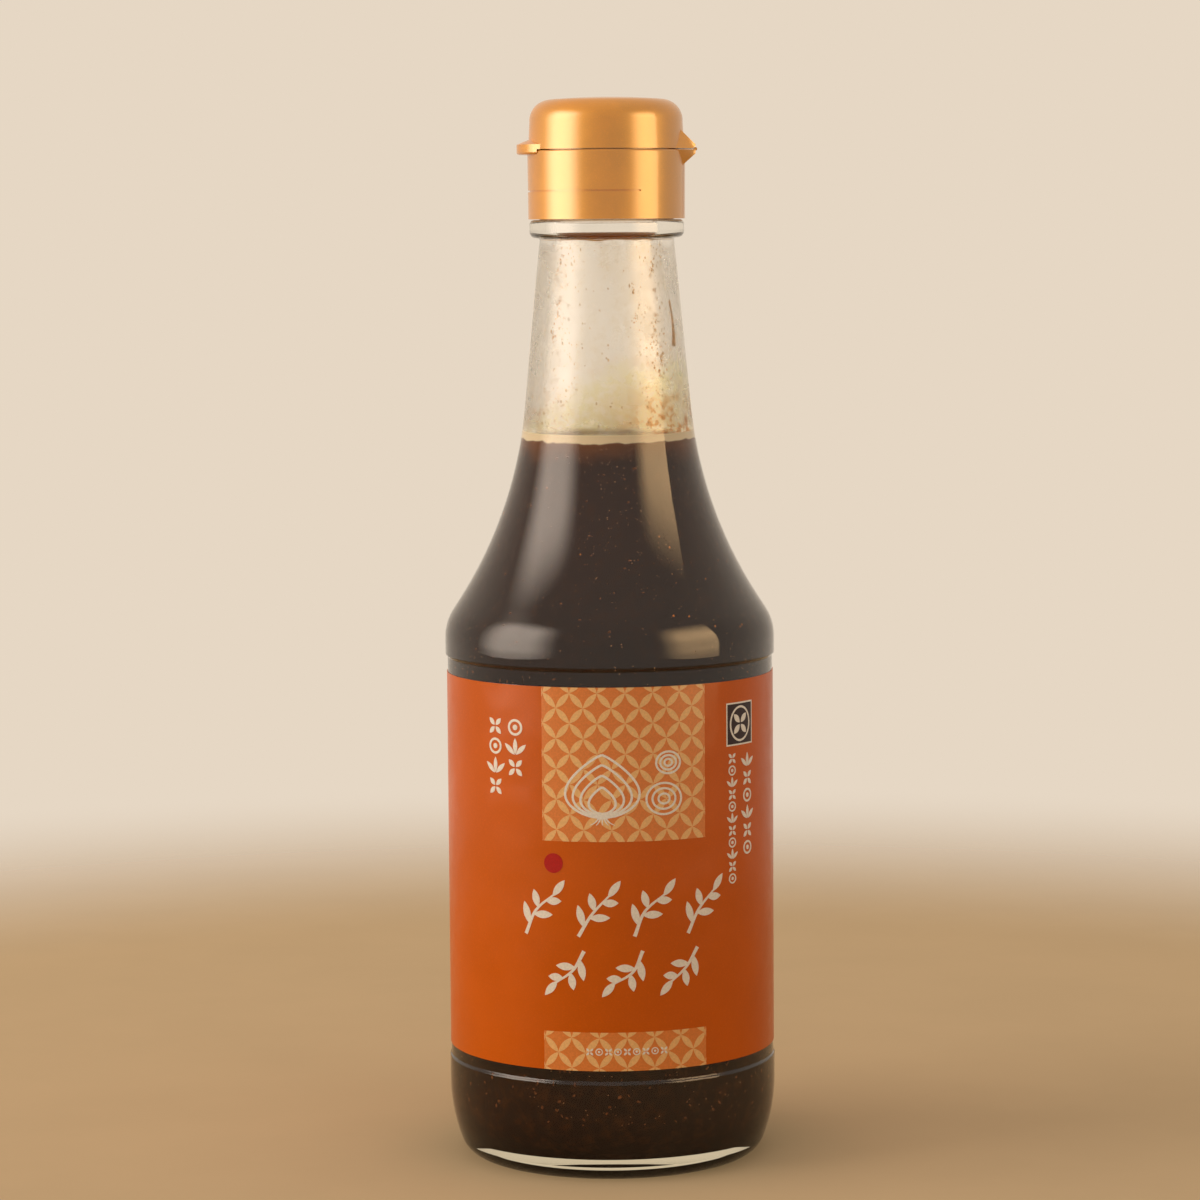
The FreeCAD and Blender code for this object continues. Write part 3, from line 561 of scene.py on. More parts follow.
def glass_material(g, at):
    """Clear glass, a little wavy, faintly tinted where thick; lamps shine through it.

    The empty part of the neck is smeared, so it is rough inside and a little rough outside.
    """
    material, tree = new_material("clear_glass")
    wave = place_noise(tree, 45.0, detail=1.0)
    position = own_place(tree)
    height = height_of(tree, position)
    flat = add_node(tree, "ShaderNodeVectorMath", {0: position, 1: (1, 1, 0)}, operation="MULTIPLY")
    reach = add_node(tree, "ShaderNodeVectorMath", {0: flat.outputs[0]}, operation="LENGTH")
    taper = math.tan(g.neck_lean)
    inner = at.neck - g.neck_wall + g.neck_wall / 2 + at.bead_bottom * taper
    narrowed = maths(tree, "MULTIPLY_ADD", height, taper, reach.outputs["Value"])
    inside = ranged(tree, narrowed, inner + 0.3 * MM, inner - 0.3 * MM)
    level = SAUCE_BOX[1].z
    empty = ranged(tree, height, level - 1 * MM, level + 4 * MM)
    below_bead = ranged(tree, height, at.bead_bottom + 0.5 * MM, at.bead_bottom - 3 * MM)
    smear = ranged(tree, inside, 0.0, 1.0, g.smear_outside, g.smear_inside)
    patchy = ranged(tree, place_noise(tree, 160.0, detail=4.0), 0.3, 0.6, 0.45, 1.0)
    ring = ranged(tree, height, 2.6 * MM, 0.9 * MM, 0.0, g.stipple)
    rough = maths(tree, "MAXIMUM", multiplied(tree, smear, empty, below_bead, patchy), ring)
    glass = add_node(tree, "ShaderNodeBsdfPrincipled", {
        "Base Color": (1, 1, 1, 1), "Roughness": rough,
        "IOR": 1.52, "Transmission Weight": 1.0,
        "Normal": bumped(tree, wave, 0.04 * MM)})
    clear = add_node(tree, "ShaderNodeBsdfTransparent", {"Color": (0.94, 0.95, 0.93, 1)})
    path = add_node(tree, "ShaderNodeLightPath")
    lamp_ray = maths(tree, "MAXIMUM", path.outputs["Is Shadow Ray"], path.outputs["Is Diffuse Ray"])
    mix = add_node(tree, "ShaderNodeMixShader", {
        0: lamp_ray, 1: glass.outputs[0], 2: clear.outputs[0]})
    depth = add_node(tree, "ShaderNodeVolumeAbsorption", {
        "Color": rgba(g.tint), "Density": g.tint_depth})
    return finished(material, mix, depth)


def sauce_side_material(s):
    """Dark cloudy sauce against the glass, with a painted glow that lightens it up the neck and turns
    it amber under its level, where light comes through thinner sauce, and a pale line of froth at the
    top.
    """
    material, tree = new_material("sauce_side")
    position = own_place(tree)
    height = height_of(tree, position)
    cloud = place_noise(tree, 120.0, detail=4.0)
    wobble = maths(tree, "MULTIPLY_ADD", cloud, 6 * MM, -3 * MM)
    lifted = maths(tree, "ADD", height, wobble)
    level = SAUCE_BOX[1].z
    # Painted glow: the sauce lightens towards the neck, standing in for light through the narrower
    # column.
    neck = ranged(tree, lifted, level - 42 * MM, level - 14 * MM)
    # Painted glow: amber just under the level, standing in for light through the shallow sauce.
    amber = ranged(tree, lifted, level - s.amber_depth, level)
    base = mixed(tree, neck, rgba(s.deep), rgba(s.middle))
    base = mixed(tree, amber, base, rgba(s.glow_and_pulp_amber))
    # Low down, streaks of pulp in the same amber colour.
    pulp = ranged(tree, height, 30 * MM, 20 * MM, 0.1, 0.24)
    streaks = ranged(tree, place_noise(tree, 380.0, detail=5.0, roughness=0.7), 0.45, 0.72)
    streaks = multiplied(tree, streaks, pulp)
    base = mixed(tree, streaks, base, rgba(s.glow_and_pulp_amber))
    uneven = place_noise(tree, 260.0, detail=3.0)
    climb = maths(tree, "MULTIPLY_ADD", uneven, 1.6 * MM, -0.8 * MM)
    climb = maths(tree, "ADD", height, climb)
    froth = ranged(tree, climb, level - 1.1 * MM, level - 0.75 * MM, 0.0, 0.9)
    base = mixed(tree, froth, base, rgba(s.froth_colour))
    shader = add_node(tree, "ShaderNodeBsdfPrincipled", {
        "Base Color": base, "Roughness": 0.5, "Specular IOR Level": 0.0})
    return finished(material, shader)


def wet_material(name, rgb, spread=0.25, roughness=0.25, specular=0.5, alpha=1.0, through=0.0):
    """A wet food colour that varies from place to place; light may come through it."""
    material, tree = new_material(name)
    grains = place_noise(tree, 900.0, detail=4.0)
    darker = rgba([channel * (1 - spread) for channel in rgb])
    lighter = rgba([min(1.0, channel * (1 + spread) + 0.02 * spread) for channel in rgb])
    base = mixed(tree, ranged(tree, grains, 0.3, 0.7), darker, lighter)
    shader = add_node(tree, "ShaderNodeBsdfPrincipled", {
        "Base Color": base, "Roughness": roughness, "Specular IOR Level": specular, "Alpha": alpha,
        "Transmission Weight": through, "IOR": 1.3,
        "Normal": bumped(tree, grains, 0.03 * MM)})
    return finished(material, shader)


def multiplied(tree, *values):
    """The product of several values."""
    result = values[0]
    for value in values[1:]:
        result = maths(tree, "MULTIPLY", result, value)
    return result


def turn_from_front(tree, vector):
    """How far a place or direction is turned from the front, to the right, in radians."""
    parts = add_node(tree, "ShaderNodeSeparateXYZ", {0: vector})
    forward = maths(tree, "MULTIPLY", parts.outputs["Y"], -1.0)
    return maths(tree, "ARCTAN2", parts.outputs["X"], forward)


def film_material(f):
    """Residue on the neck: a creamy, see-through film low down and a streaky haze above it."""
    material, tree = new_material("creamy_film")
    position = own_place(tree)
    height = height_of(tree, position)
    drawn = add_node(tree, "ShaderNodeMapping", {"Vector": position, "Scale": (1.0, 1.0, 0.3)})
    streak = add_node(tree, "ShaderNodeTexNoise", {
        "Vector": drawn.outputs[0], "Scale": 330.0, "Detail": 5.0, "Roughness": 0.65}).outputs["Fac"]
    cloud = place_noise(tree, 85.0, detail=4.0, roughness=0.6)
    fine = place_noise(tree, 750.0, detail=4.0, roughness=0.7)
    level = SAUCE_BOX[1].z
    wobble = maths(tree, "MULTIPLY_ADD", cloud, 17 * MM, -8.5 * MM)
    ragged = maths(tree, "MULTIPLY_ADD", streak, 7 * MM, -3.5 * MM)
    lifted = maths(tree, "ADD", height, wobble)
    lifted = maths(tree, "ADD", lifted, ragged)
    turn = turn_from_front(tree, position)
    lean = maths(tree, "ADD", turn, math.radians(-60))
    lean = maths(tree, "COSINE", lean)
    sunk = maths(tree, "MULTIPLY_ADD", lean, -6.5 * MM, 1.5 * MM)
    lifted = maths(tree, "ADD", lifted, sunk)
    film = ranged(tree, lifted, level + f.film_height * 1.2, level + f.film_height * 0.55)
    grain = ranged(tree, fine, 0.36, 0.62, 0.3, 1.0)
    film_cover = multiplied(tree, film, grain, 0.56)
    haze_cover = multiplied(tree, ranged(tree, streak, 0.38, 0.66, 0.03, 0.6),
                            ranged(tree, cloud, 0.3, 0.62, 0.3, 1.0), grain)
    rim = multiplied(tree, ranged(tree, film, 0.02, 0.25), ranged(tree, film, 0.75, 0.35))
    cover = maths(tree, "MAXIMUM", film_cover, haze_cover)
    right = ranged(tree, turn, math.radians(6), math.radians(36), 0.15, 1.0)
    low = ranged(tree, height, level + 14 * MM, level + 3 * MM)
    spots = ranged(tree, place_noise(tree, 420.0, detail=5.0, roughness=0.7), 0.46, 0.56)
    left = ranged(tree, turn, math.radians(-22), math.radians(-44), 0.0, 0.35)
    sides = maths(tree, "MAXIMUM", right, left)
    stains = multiplied(tree, sides, low, spots)
    cover = maths(tree, "MAXIMUM", cover, stains)
    base = mixed(tree, film, rgba(f.haze_colour), rgba(f.film_colour))
    base = mixed(tree, stains, base, rgba(f.trace_colour))
    base = mixed(tree, multiplied(tree, rim, spots, 0.7), base, rgba(f.trace_colour))
    shader = add_node(tree, "ShaderNodeBsdfPrincipled", {
        "Base Color": base, "Roughness": 0.22, "IOR": 1.06, "Specular IOR Level": 0.3,
        "Transmission Weight": 0.9, "Alpha": cover,
        "Normal": bumped(tree, fine, 0.12 * MM)})
    return finished(material, shader)


def paper_material(l):
    """Coated orange paper: fine fibres, faint blotches and a soft varnish that isn't quite flat."""
    material, tree = new_material("label_paper")
    blotch = ranged(tree, place_noise(tree, 70.0, detail=5.0), 0.3, 0.75)
    fibre = place_noise(tree, 3200.0, detail=2.0)
    darker = rgba([channel * 0.93 for channel in l.paper])
    base = mixed(tree, blotch, darker, rgba(l.paper))
    lighter = rgba([min(1.0, channel * 1.1) for channel in l.paper])
    base = mixed(tree, ranged(tree, fibre, 0.45, 0.8, 0.0, 0.7), base, lighter)
    cockle = place_noise(tree, 55.0, detail=2.0)
    rough = ranged(tree, place_noise(tree, 260.0), 0.2, 0.8, 0.3, 0.42)
    fine = bumped(tree, fibre, 0.012 * MM, 0.6)
    wavy = add_node(tree, "ShaderNodeBump", {
        "Height": cockle, "Distance": 0.35 * MM, "Strength": 1.0, "Normal": fine}).outputs["Normal"]
    shader = add_node(tree, "ShaderNodeBsdfPrincipled", {
        "Base Color": base, "Roughness": rough, "Specular IOR Level": 0.05, "Coat Weight": 0.3,
        "Coat Roughness": 0.12, "Normal": wavy, "Coat Normal": wavy})
    return finished(material, shader)


def ink_material(name, rgb):
    """Print on the paper: its colour thins a little along the fibres."""
    material, tree = new_material(name)
    fibre = place_noise(tree, 2600.0, detail=3.0)
    thin = rgba([channel * 0.88 for channel in rgb])
    base = mixed(tree, ranged(tree, fibre, 0.35, 0.7), thin, rgba(rgb))
    rough = ranged(tree, place_noise(tree, 260.0), 0.2, 0.8, 0.3, 0.42)
    shader = add_node(tree, "ShaderNodeBsdfPrincipled", {
        "Base Color": base, "Roughness": rough, "Specular IOR Level": 0.05, "Coat Weight": 0.45,
        "Coat Roughness": 0.12, "Normal": bumped(tree, fibre, 0.012 * MM, 0.6)})
    return finished(material, shader)


def gold_material(name, c, roughness, coat):
    """Gold moulded plastic: fine flakes under a smooth skin with a faint orange peel."""
    material, tree = new_material(name)
    flakes = place_noise(tree, 5200.0, detail=1.0)
    flow = place_noise(tree, 130.0, detail=3.0)
    deeper = rgba([channel * 0.86 for channel in c.gold])
    base = mixed(tree, ranged(tree, flow, 0.3, 0.75), deeper, rgba(c.gold))
    base = mixed(tree, ranged(tree, flakes, 0.5, 0.8, 0.0, 0.5), base,
                 rgba([min(1.0, channel * 1.25) for channel in c.gold]))
    rough = ranged(tree, flow, 0.25, 0.8, roughness - 0.03, roughness + 0.04)
    peel = place_noise(tree, 900.0, detail=2.0)
    shader = add_node(tree, "ShaderNodeBsdfPrincipled", {
        "Base Color": base, "Roughness": rough, "IOR": 1.75,
        "Specular IOR Level": 1.0, "Specular Tint": rgba(c.sheen), "Coat Weight": coat,
        "Coat Roughness": 0.14, "Coat IOR": 1.85,
        "Normal": bumped(tree, peel, 0.01 * MM, 0.5)})
    return finished(material, shader)


def floor_material(t):
    """Pale matt floor that fades away all round, so that the backdrop's colour takes over."""
    material, tree = new_material("pale_floor")
    position = own_place(tree)
    grain = place_noise(tree, 24.0, detail=6.0)
    darker = rgba([channel * 0.97 for channel in t.floor_colour])
    base = mixed(tree, ranged(tree, grain, 0.3, 0.7), darker, rgba(t.floor_colour))
    matt = add_node(tree, "ShaderNodeBsdfDiffuse", {"Color": base, "Roughness": 0.6})
    clear = add_node(tree, "ShaderNodeBsdfTransparent")
    reach = add_node(tree, "ShaderNodeVectorMath", {0: position}, operation="LENGTH").outputs["Value"]
    faded = ranged(tree, reach, t.floor_clear, t.floor_reach)
    mix = add_node(tree, "ShaderNodeMixShader", {
        0: faded, 1: matt.outputs[0], 2: clear.outputs[0]})
    return finished(material, mix)


# ---- the glass ----

class BOTTLE_OT_blow_glass(bpy.types.Operator):
    """Make the glass bottle as one closed shell"""

    bl_idname = "bottle.blow_glass"
    bl_label = "Glass Bottle"

    def execute(self, context):
        g = context.scene.bottle_glass
        at = GlassLevels(g)
        outside = eased(outside_outline(g, at), g.mould_softness)
        inside = eased(inside_outline(g, at), g.mould_softness)
        outline = eased(outside + inside[::-1], g.mould_softness, math.radians(60))
        outline = divided(outline, 4 * MM)
        points, faces = turned(outline, g.segments)
        shell = make_piece("glass_shell", points, faces, [glass_material(g, at)],
                           crease=math.radians(50))
        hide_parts("bottle")
        return {"FINISHED"}


# ---- the sauce ----

def sauce_outline(g, s, at):
    """The sauce, a little into the wall, up to a surface that climbs the glass."""
    level = SAUCE_BOX[1].z
    wall = moved_out(eased(inside_outline(g, at), g.mould_softness), s.overlap)
    side = [p for p in wall if p[1] < level]
    edge = radius_at(wall, level + s.meniscus)
    side.append((edge, level + s.meniscus))
    climb = [(edge - 5.0 * s.meniscus * t, level + s.meniscus * (1 - t) ** 3)
             for t in (0.06, 0.14, 0.25, 0.4, 0.6, 1.0)]
    return divided(side, 3 * MM), climb + [(0.0, level)]


class BOTTLE_OT_pour_sauce(bpy.types.Operator):
    """Make the sauce, its surface and the bits of onion and spice in it"""

    bl_idname = "bottle.pour_sauce"
    bl_label = "Sauce"

    def execute(self, context):
        g, s = context.scene.bottle_glass, context.scene.bottle_sauce
        at = GlassLevels(g)
        side, surface = sauce_outline(g, s, at)
        points, faces = turned(side + surface, g.segments)
        # The top surface takes the amber of the painted glow at the level.
        materials = [sauce_side_material(s),
                     wet_material("sauce_surface", s.glow_and_pulp_amber, roughness=0.12)]
        body = make_piece("sauce_fill", points, faces, materials, crease=math.radians(60))
        level = SAUCE_BOX[1].z
        for face in body.data.polygons:
            if face.normal.z > 0.3 and face.center.z > level - 0.05 * MM:
                face.material_index = 1
        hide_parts("sauce")
        self.add_bits(g, s, at)
        return {"FINISHED"}

    def add_bits(self, g, s, at):
        """Scatter bits of onion and fine flecks against the inside of the glass."""
        rng = random.Random(s.seed)
        wall = inside_outline(g, at)
        level = SAUCE_BOX[1].z
        bits, flecks, sparks = Heap(), Heap(), Heap()
        for _ in range(s.bits):
            low = rng.random() < 0.45
            height = rng.uniform(11 * MM, 24 * MM) if low else rng.uniform(98 * MM, level - 2 * MM)
            size = rng.uniform(0.15, 0.5) * MM
            add_lump(bits, rng, wall, rng.uniform(-math.pi, math.pi), height,
                     (0.05 * MM, size * rng.uniform(0.4, 0.8), size), s.overlap,
                     rng.uniform(-1.5, 1.5))
        for _ in range(s.flecks):
            low = rng.random() < 0.1
            height = rng.uniform(11 * MM, 24 * MM) if low else rng.uniform(98 * MM, level - 1 * MM)
            size = rng.uniform(0.04, 0.095) * MM
            add_lump(flecks, rng, wall, rng.uniform(-math.pi, math.pi), height,
                     (0.05 * MM, size, size * rng.uniform(0.8, 1.6)), s.overlap,
                     rng.uniform(-1.5, 1.5))
        for _ in range(s.sparks):
            size = rng.uniform(0.15, 0.28) * MM
            add_lump(sparks, rng, wall, rng.uniform(-math.pi, math.pi),
                     rng.uniform(102 * MM, level - 4 * MM), (0.08 * MM, size, size * 1.5), s.overlap,
                     rng.uniform(-0.5, 0.5))
        make_piece("onion_bits", bits.points, bits.faces,
                   [wet_material("onion_bits", s.bit_colour, 0.5, 0.5, 0.0)])
        make_piece("spice_flecks", flecks.points, flecks.faces,
                   [wet_material("spice_flecks", s.fleck_colour, 0.5, 0.5, 0.0)])
        make_piece("orange_flecks", sparks.points, sparks.faces,
                   [wet_material("orange_flecks", s.spark_colour, 0.3, 0.5, 0.0)])


# ---- film and dried traces ----

class BOTTLE_OT_smear_film(bpy.types.Operator):
    """Make the creamy film over the sauce, its drops and the dried traces on the neck"""

    bl_idname = "bottle.smear_film"
    bl_label = "Film and Traces"

    def execute(self, context):
        g, f = context.scene.bottle_glass, context.scene.bottle_film
        at = GlassLevels(g)
        wall = inside_outline(g, at)
        self.add_film(f, at, wall)
        self.add_drops(f, at, wall)
        self.add_traces(f, at, wall)
        return {"FINISHED"}

    def add_film(self, f, at, wall):
        """One thin closed shell from the level up to the bead, thicker and lumpy low down."""
        low = SAUCE_BOX[1].z - 0.4 * MM
        high = at.bead_bottom - 0.4 * MM
        columns, rows = 300, 110
        points = []
        for inner in (False, True):
            for row in range(rows + 1):
                height = low + (high - low) * row / rows
                climb = (height - low) / f.film_height
                for column in range(columns):
                    turn = 2 * math.pi * column / columns
                    place, out, _ = on_wall(wall, turn, height, 0.03 * MM)
                    spot = Vector((math.sin(turn), math.cos(turn), climb * 1.2))
                    amount = 0.5 + 0.5 * noise.noise(spot * 7.0) + 0.3 * noise.noise(spot * 21.0)
                    depth = 0.05 * MM + f.film_depth * max(0.0, amount) * math.exp(-climb ** 2)
                    points.append(place - out * depth if inner else place)
        faces = []
        layer = (rows + 1) * columns
        for row in range(rows):
            for column in range(columns):
                a, b = row * columns + column, row * columns + (column + 1) % columns
                faces.append([a, b, b + columns, a + columns])
                faces.append([layer + a, layer + a + columns, layer + b + columns, layer + b])
        for column in range(columns):
            a, b = column, (column + 1) % columns
            top_a, top_b = rows * columns + a, rows * columns + b
            faces.append([a, layer + a, layer + b, b])
            faces.append([top_a, top_b, layer + top_b, layer + top_a])
        make_piece("creamy_film", points, faces, [film_material(f)])

    def add_drops(self, f, at, wall):
        """Pale drops in the film and just above it, largest beside the level."""
        rng = random.Random(f.seed)
        level = SAUCE_BOX[1].z
        heap = Heap()
        for _ in range(f.drops):
            climb = rng.random() ** 2.2
            size = rng.uniform(0.08, 0.3) * (1.1 - 0.6 * climb) * MM
            add_lump(heap, rng, wall, rng.uniform(-math.pi, math.pi),
                     level + f.film_height * 1.5 * climb,
                     (0.12 * MM, size, size * rng.uniform(0.9, 1.5)), 0.0, 0.0, 2, 0.06)
        for _ in range(f.drops * 3):
            size = rng.uniform(0.06, 0.15) * MM
            turn = math.radians(rng.choice((-52, -38, 40, 54, 180)) + rng.gauss(0, 9))
            add_lump(heap, rng, wall, turn, rng.uniform(level + 2 * MM, at.bead_bottom - 1 * MM),
                     (0.08 * MM, size, size * rng.uniform(1.0, 3.4)), 0.0, 0.0, 1, 0.1)
        make_piece("amber_drops", heap.points, heap.faces,
                   [wet_material("amber_drops", f.drop_colour, 0.25, 0.15, 0.5, alpha=0.55,
                                 through=0.6)])

    def add_traces(self, f, at, wall):
        """Dried specks, a drip at the right of the neck and a thin ring under the cap."""
        rng = random.Random(f.seed + 1)
        heap = Heap()
        level = SAUCE_BOX[1].z
        for _ in range(f.specks):
            height = rng.uniform(level + f.film_height, at.bead_bottom)
            size = rng.uniform(0.05, 0.14) * MM
            add_lump(heap, rng, wall, rng.uniform(-math.pi, math.pi), height,
                     (0.06 * MM, size, size * rng.uniform(0.8, 2.6)), 0.0, 0.0, 1, 0.2)
        for _ in range(30):
            height = rng.uniform(level + f.film_height * 0.9, level + 21 * MM)
            size = rng.uniform(0.08, 0.2) * MM
            add_lump(heap, rng, wall, math.radians(rng.gauss(50, 12)), height,
                     (0.07 * MM, size, size * rng.uniform(0.8, 1.8)), 0.0, 0.0, 2, 0.15)
        for step in range(24):
            part = step / 23
            add_lump(heap, rng, wall, math.radians(68 + 2 * math.sin(3 * part)),
                     at.bead_bottom - (13 + 8.5 * part) * MM,
                     (0.14 * MM, (0.26 + 0.5 * part ** 2) * MM, 0.45 * MM), 0.0, 0.0, 2, 0.03)
        for start, top, foot, count in ((-50, 3, 24, 46), (47, 4, 27, 60), (25, 9, 17, 16)):
            for _ in range(count):
                drop = rng.uniform(top, foot)
                turn = math.radians(start + 3 * math.sin(drop * 0.6) + rng.gauss(0, 1.4))
                size = rng.uniform(0.06, 0.2) * MM
                add_lump(heap, rng, wall, turn, at.bead_bottom - drop * MM,
                         (0.06 * MM, size, size * rng.uniform(1.0, 3.2)), 0.0, 0.0, 1, 0.2)
        self.add_ring(heap, at, wall)
        make_piece("dried_traces", heap.points, heap.faces,
                   [wet_material("dried_traces", f.dried_colour, 0.35, 0.3, 0.3, alpha=0.65,
                                 through=0.15)])

    def add_ring(self, heap, at, wall):
        """The uneven thread of sauce that stays under the transfer bead."""
        columns, corners = 220, 8
        points = []
        for column in range(columns):
            turn = 2 * math.pi * column / columns
            spot = Vector((math.sin(turn), math.cos(turn), 0.0))
            thick = (0.2 + 0.2 * max(0.0, noise.noise(spot * 2.2) + 0.2)
                     + 0.05 * noise.noise(spot * 9)) * MM
            height = at.bead_bottom + (-0.2 + 0.3 * noise.noise(spot * 3 + Vector((4, 4, 4)))) * MM
            place, out, _ = on_wall(wall, turn, height, 0.0)
            for i in range(corners):
                lean = 2 * math.pi * i / corners
                points.append(place + out * 0.1 * MM * math.cos(lean)
                              + Vector((0, 0, thick * math.sin(lean))))
        faces = []
        for column in range(columns):
            for i in range(corners):
                a, b = column * corners, (column + 1) % columns * corners
                j = (i + 1) % corners
                faces.append([a + i, a + j, b + j, b + i])
        heap.add(points, faces)


# ---- the label ----

class Print:
    """One layer of print: flat shapes in (across, up) metres, wrapped round the label."""

    def __init__(self, l, layer):
        self.radius = LABEL_BOX[1].x
        self.top = self.radius + l.ink_step * layer
        self.base = self.radius - 0.03 * MM
        self.turn = l.turn
        self.heap = Heap()

    def wrap(self, across, up, radius):
        """A place on the label, across from the print's middle and up from the label's foot."""
        turn = self.turn + across / self.radius
        return (radius * math.sin(turn), -radius * math.cos(turn), LABEL_BOX[0].z + up)

    def shape(self, rim):
        """A closed shape that its centre can see all round."""
        if len(rim) < 3:
            return
        centre = (sum(p[0] for p in rim) / len(rim), sum(p[1] for p in rim) / len(rim))
        count = len(rim)
        points = [self.wrap(*p, self.top) for p in rim] + [self.wrap(*centre, self.top)]
        points += [self.wrap(*p, self.base) for p in rim] + [self.wrap(*centre, self.base)]
        faces = []
        for i in range(count):
            j = (i + 1) % count
            faces.append([i, j, count])
            faces.append([count + 1 + j, count + 1 + i, 2 * count + 1])
            faces.append([i, count + 1 + i, count + 1 + j, j])
        self.heap.add(points, faces)

    def field(self, left, right, low, high, step=0.8 * MM):
        """A rectangle, divided so that it follows the round of the label."""
        columns = max(1, math.ceil((right - left) / step))
        points = []
        for i in range(columns + 1):
            across = left + (right - left) * i / columns
            points += [self.wrap(across, up, radius)
                       for radius in (self.top, self.base) for up in (low, high)]
        self.heap.add(points, band_faces(columns))

    def stroke(self, line, widths):
        """A line with a width at each of its points."""
        points = []
        for i, (across, up) in enumerate(line):
            before, after = line[max(i - 1, 0)], line[min(i + 1, len(line) - 1)]
            along = (Vector(after) - Vector(before)).normalized()
            side = Vector((-along.y, along.x)) * widths[i] / 2
            for radius in (self.top, self.base):
                points += [self.wrap(across + side.x * k, up + side.y * k, radius) for k in (-1, 0, 1)]
        faces = [[0, 1, 2, 5, 4, 3], [6 * (len(line) - 1) + i for i in (3, 4, 5, 2, 1, 0)]]
        for i in range(len(line) - 1):
            a, b = 6 * i, 6 * i + 6
            for j in (0, 1):
                faces.append([a + j, a + j + 1, b + j + 1, b + j])
                faces.append([a + 4 + j, a + 3 + j, b + 3 + j, b + 4 + j])
            faces += [[a + 3, a, b, b + 3], [a + 2, a + 5, b + 5, b + 2]]
        self.heap.add(points, faces)

    def piece(self, name, material):
        """The finished layer."""
        return make_piece(name, self.heap.points, self.heap.faces, [material],
                          crease=PAPER_CREASE)


def smooth_line(knots, count=28):
    """Points on a smooth curve through a few knots."""
    knots = [Vector(k) for k in knots]
    knots = [2 * knots[0] - knots[1]] + knots + [2 * knots[-1] - knots[-2]]
    spans = len(knots) - 3
    line = []
    for i in range(count + 1):
        place = i / count * spans
        span = min(int(place), spans - 1)
        t = place - span
        a, b, c, d = knots[span:span + 4]
        line.append(tuple(0.5 * ((2 * b) + (c - a) * t + (2 * a - 5 * b + 4 * c - d) * t ** 2
                                 + (3 * b - a - 3 * c + d) * t ** 3)))
    return line


def cut_to(rim, left, right, low, high):
    """The part of a shape inside a rectangle."""
    for axis, limit, sign in ((0, left, 1), (0, right, -1), (1, low, 1), (1, high, -1)):
        kept = []
        for start, end in zip(rim, rim[1:] + rim[:1]):
            a, b = sign * (start[axis] - limit), sign * (end[axis] - limit)
            if a >= 0:
                kept.append(start)
            if a * b < 0:
                kept.append(tuple(Vector(start).lerp(Vector(end), a / (a - b))))
        rim = kept
    return rim


def petal(start, end, width, points=9):
    """A petal between two places, pointed at both ends."""
    start, end = Vector(start), Vector(end)
    along = (end - start).normalized()
    side = Vector((-along.y, along.x)) * width / 2
    edge = [i / points for i in range(points + 1)]
    left = [start.lerp(end, t) + side * math.sin(math.pi * t) ** 0.85 for t in edge]
    right = [start.lerp(end, t) - side * math.sin(math.pi * t) ** 0.85 for t in edge[1:-1]]
    return [tuple(p) for p in left + right[::-1]]


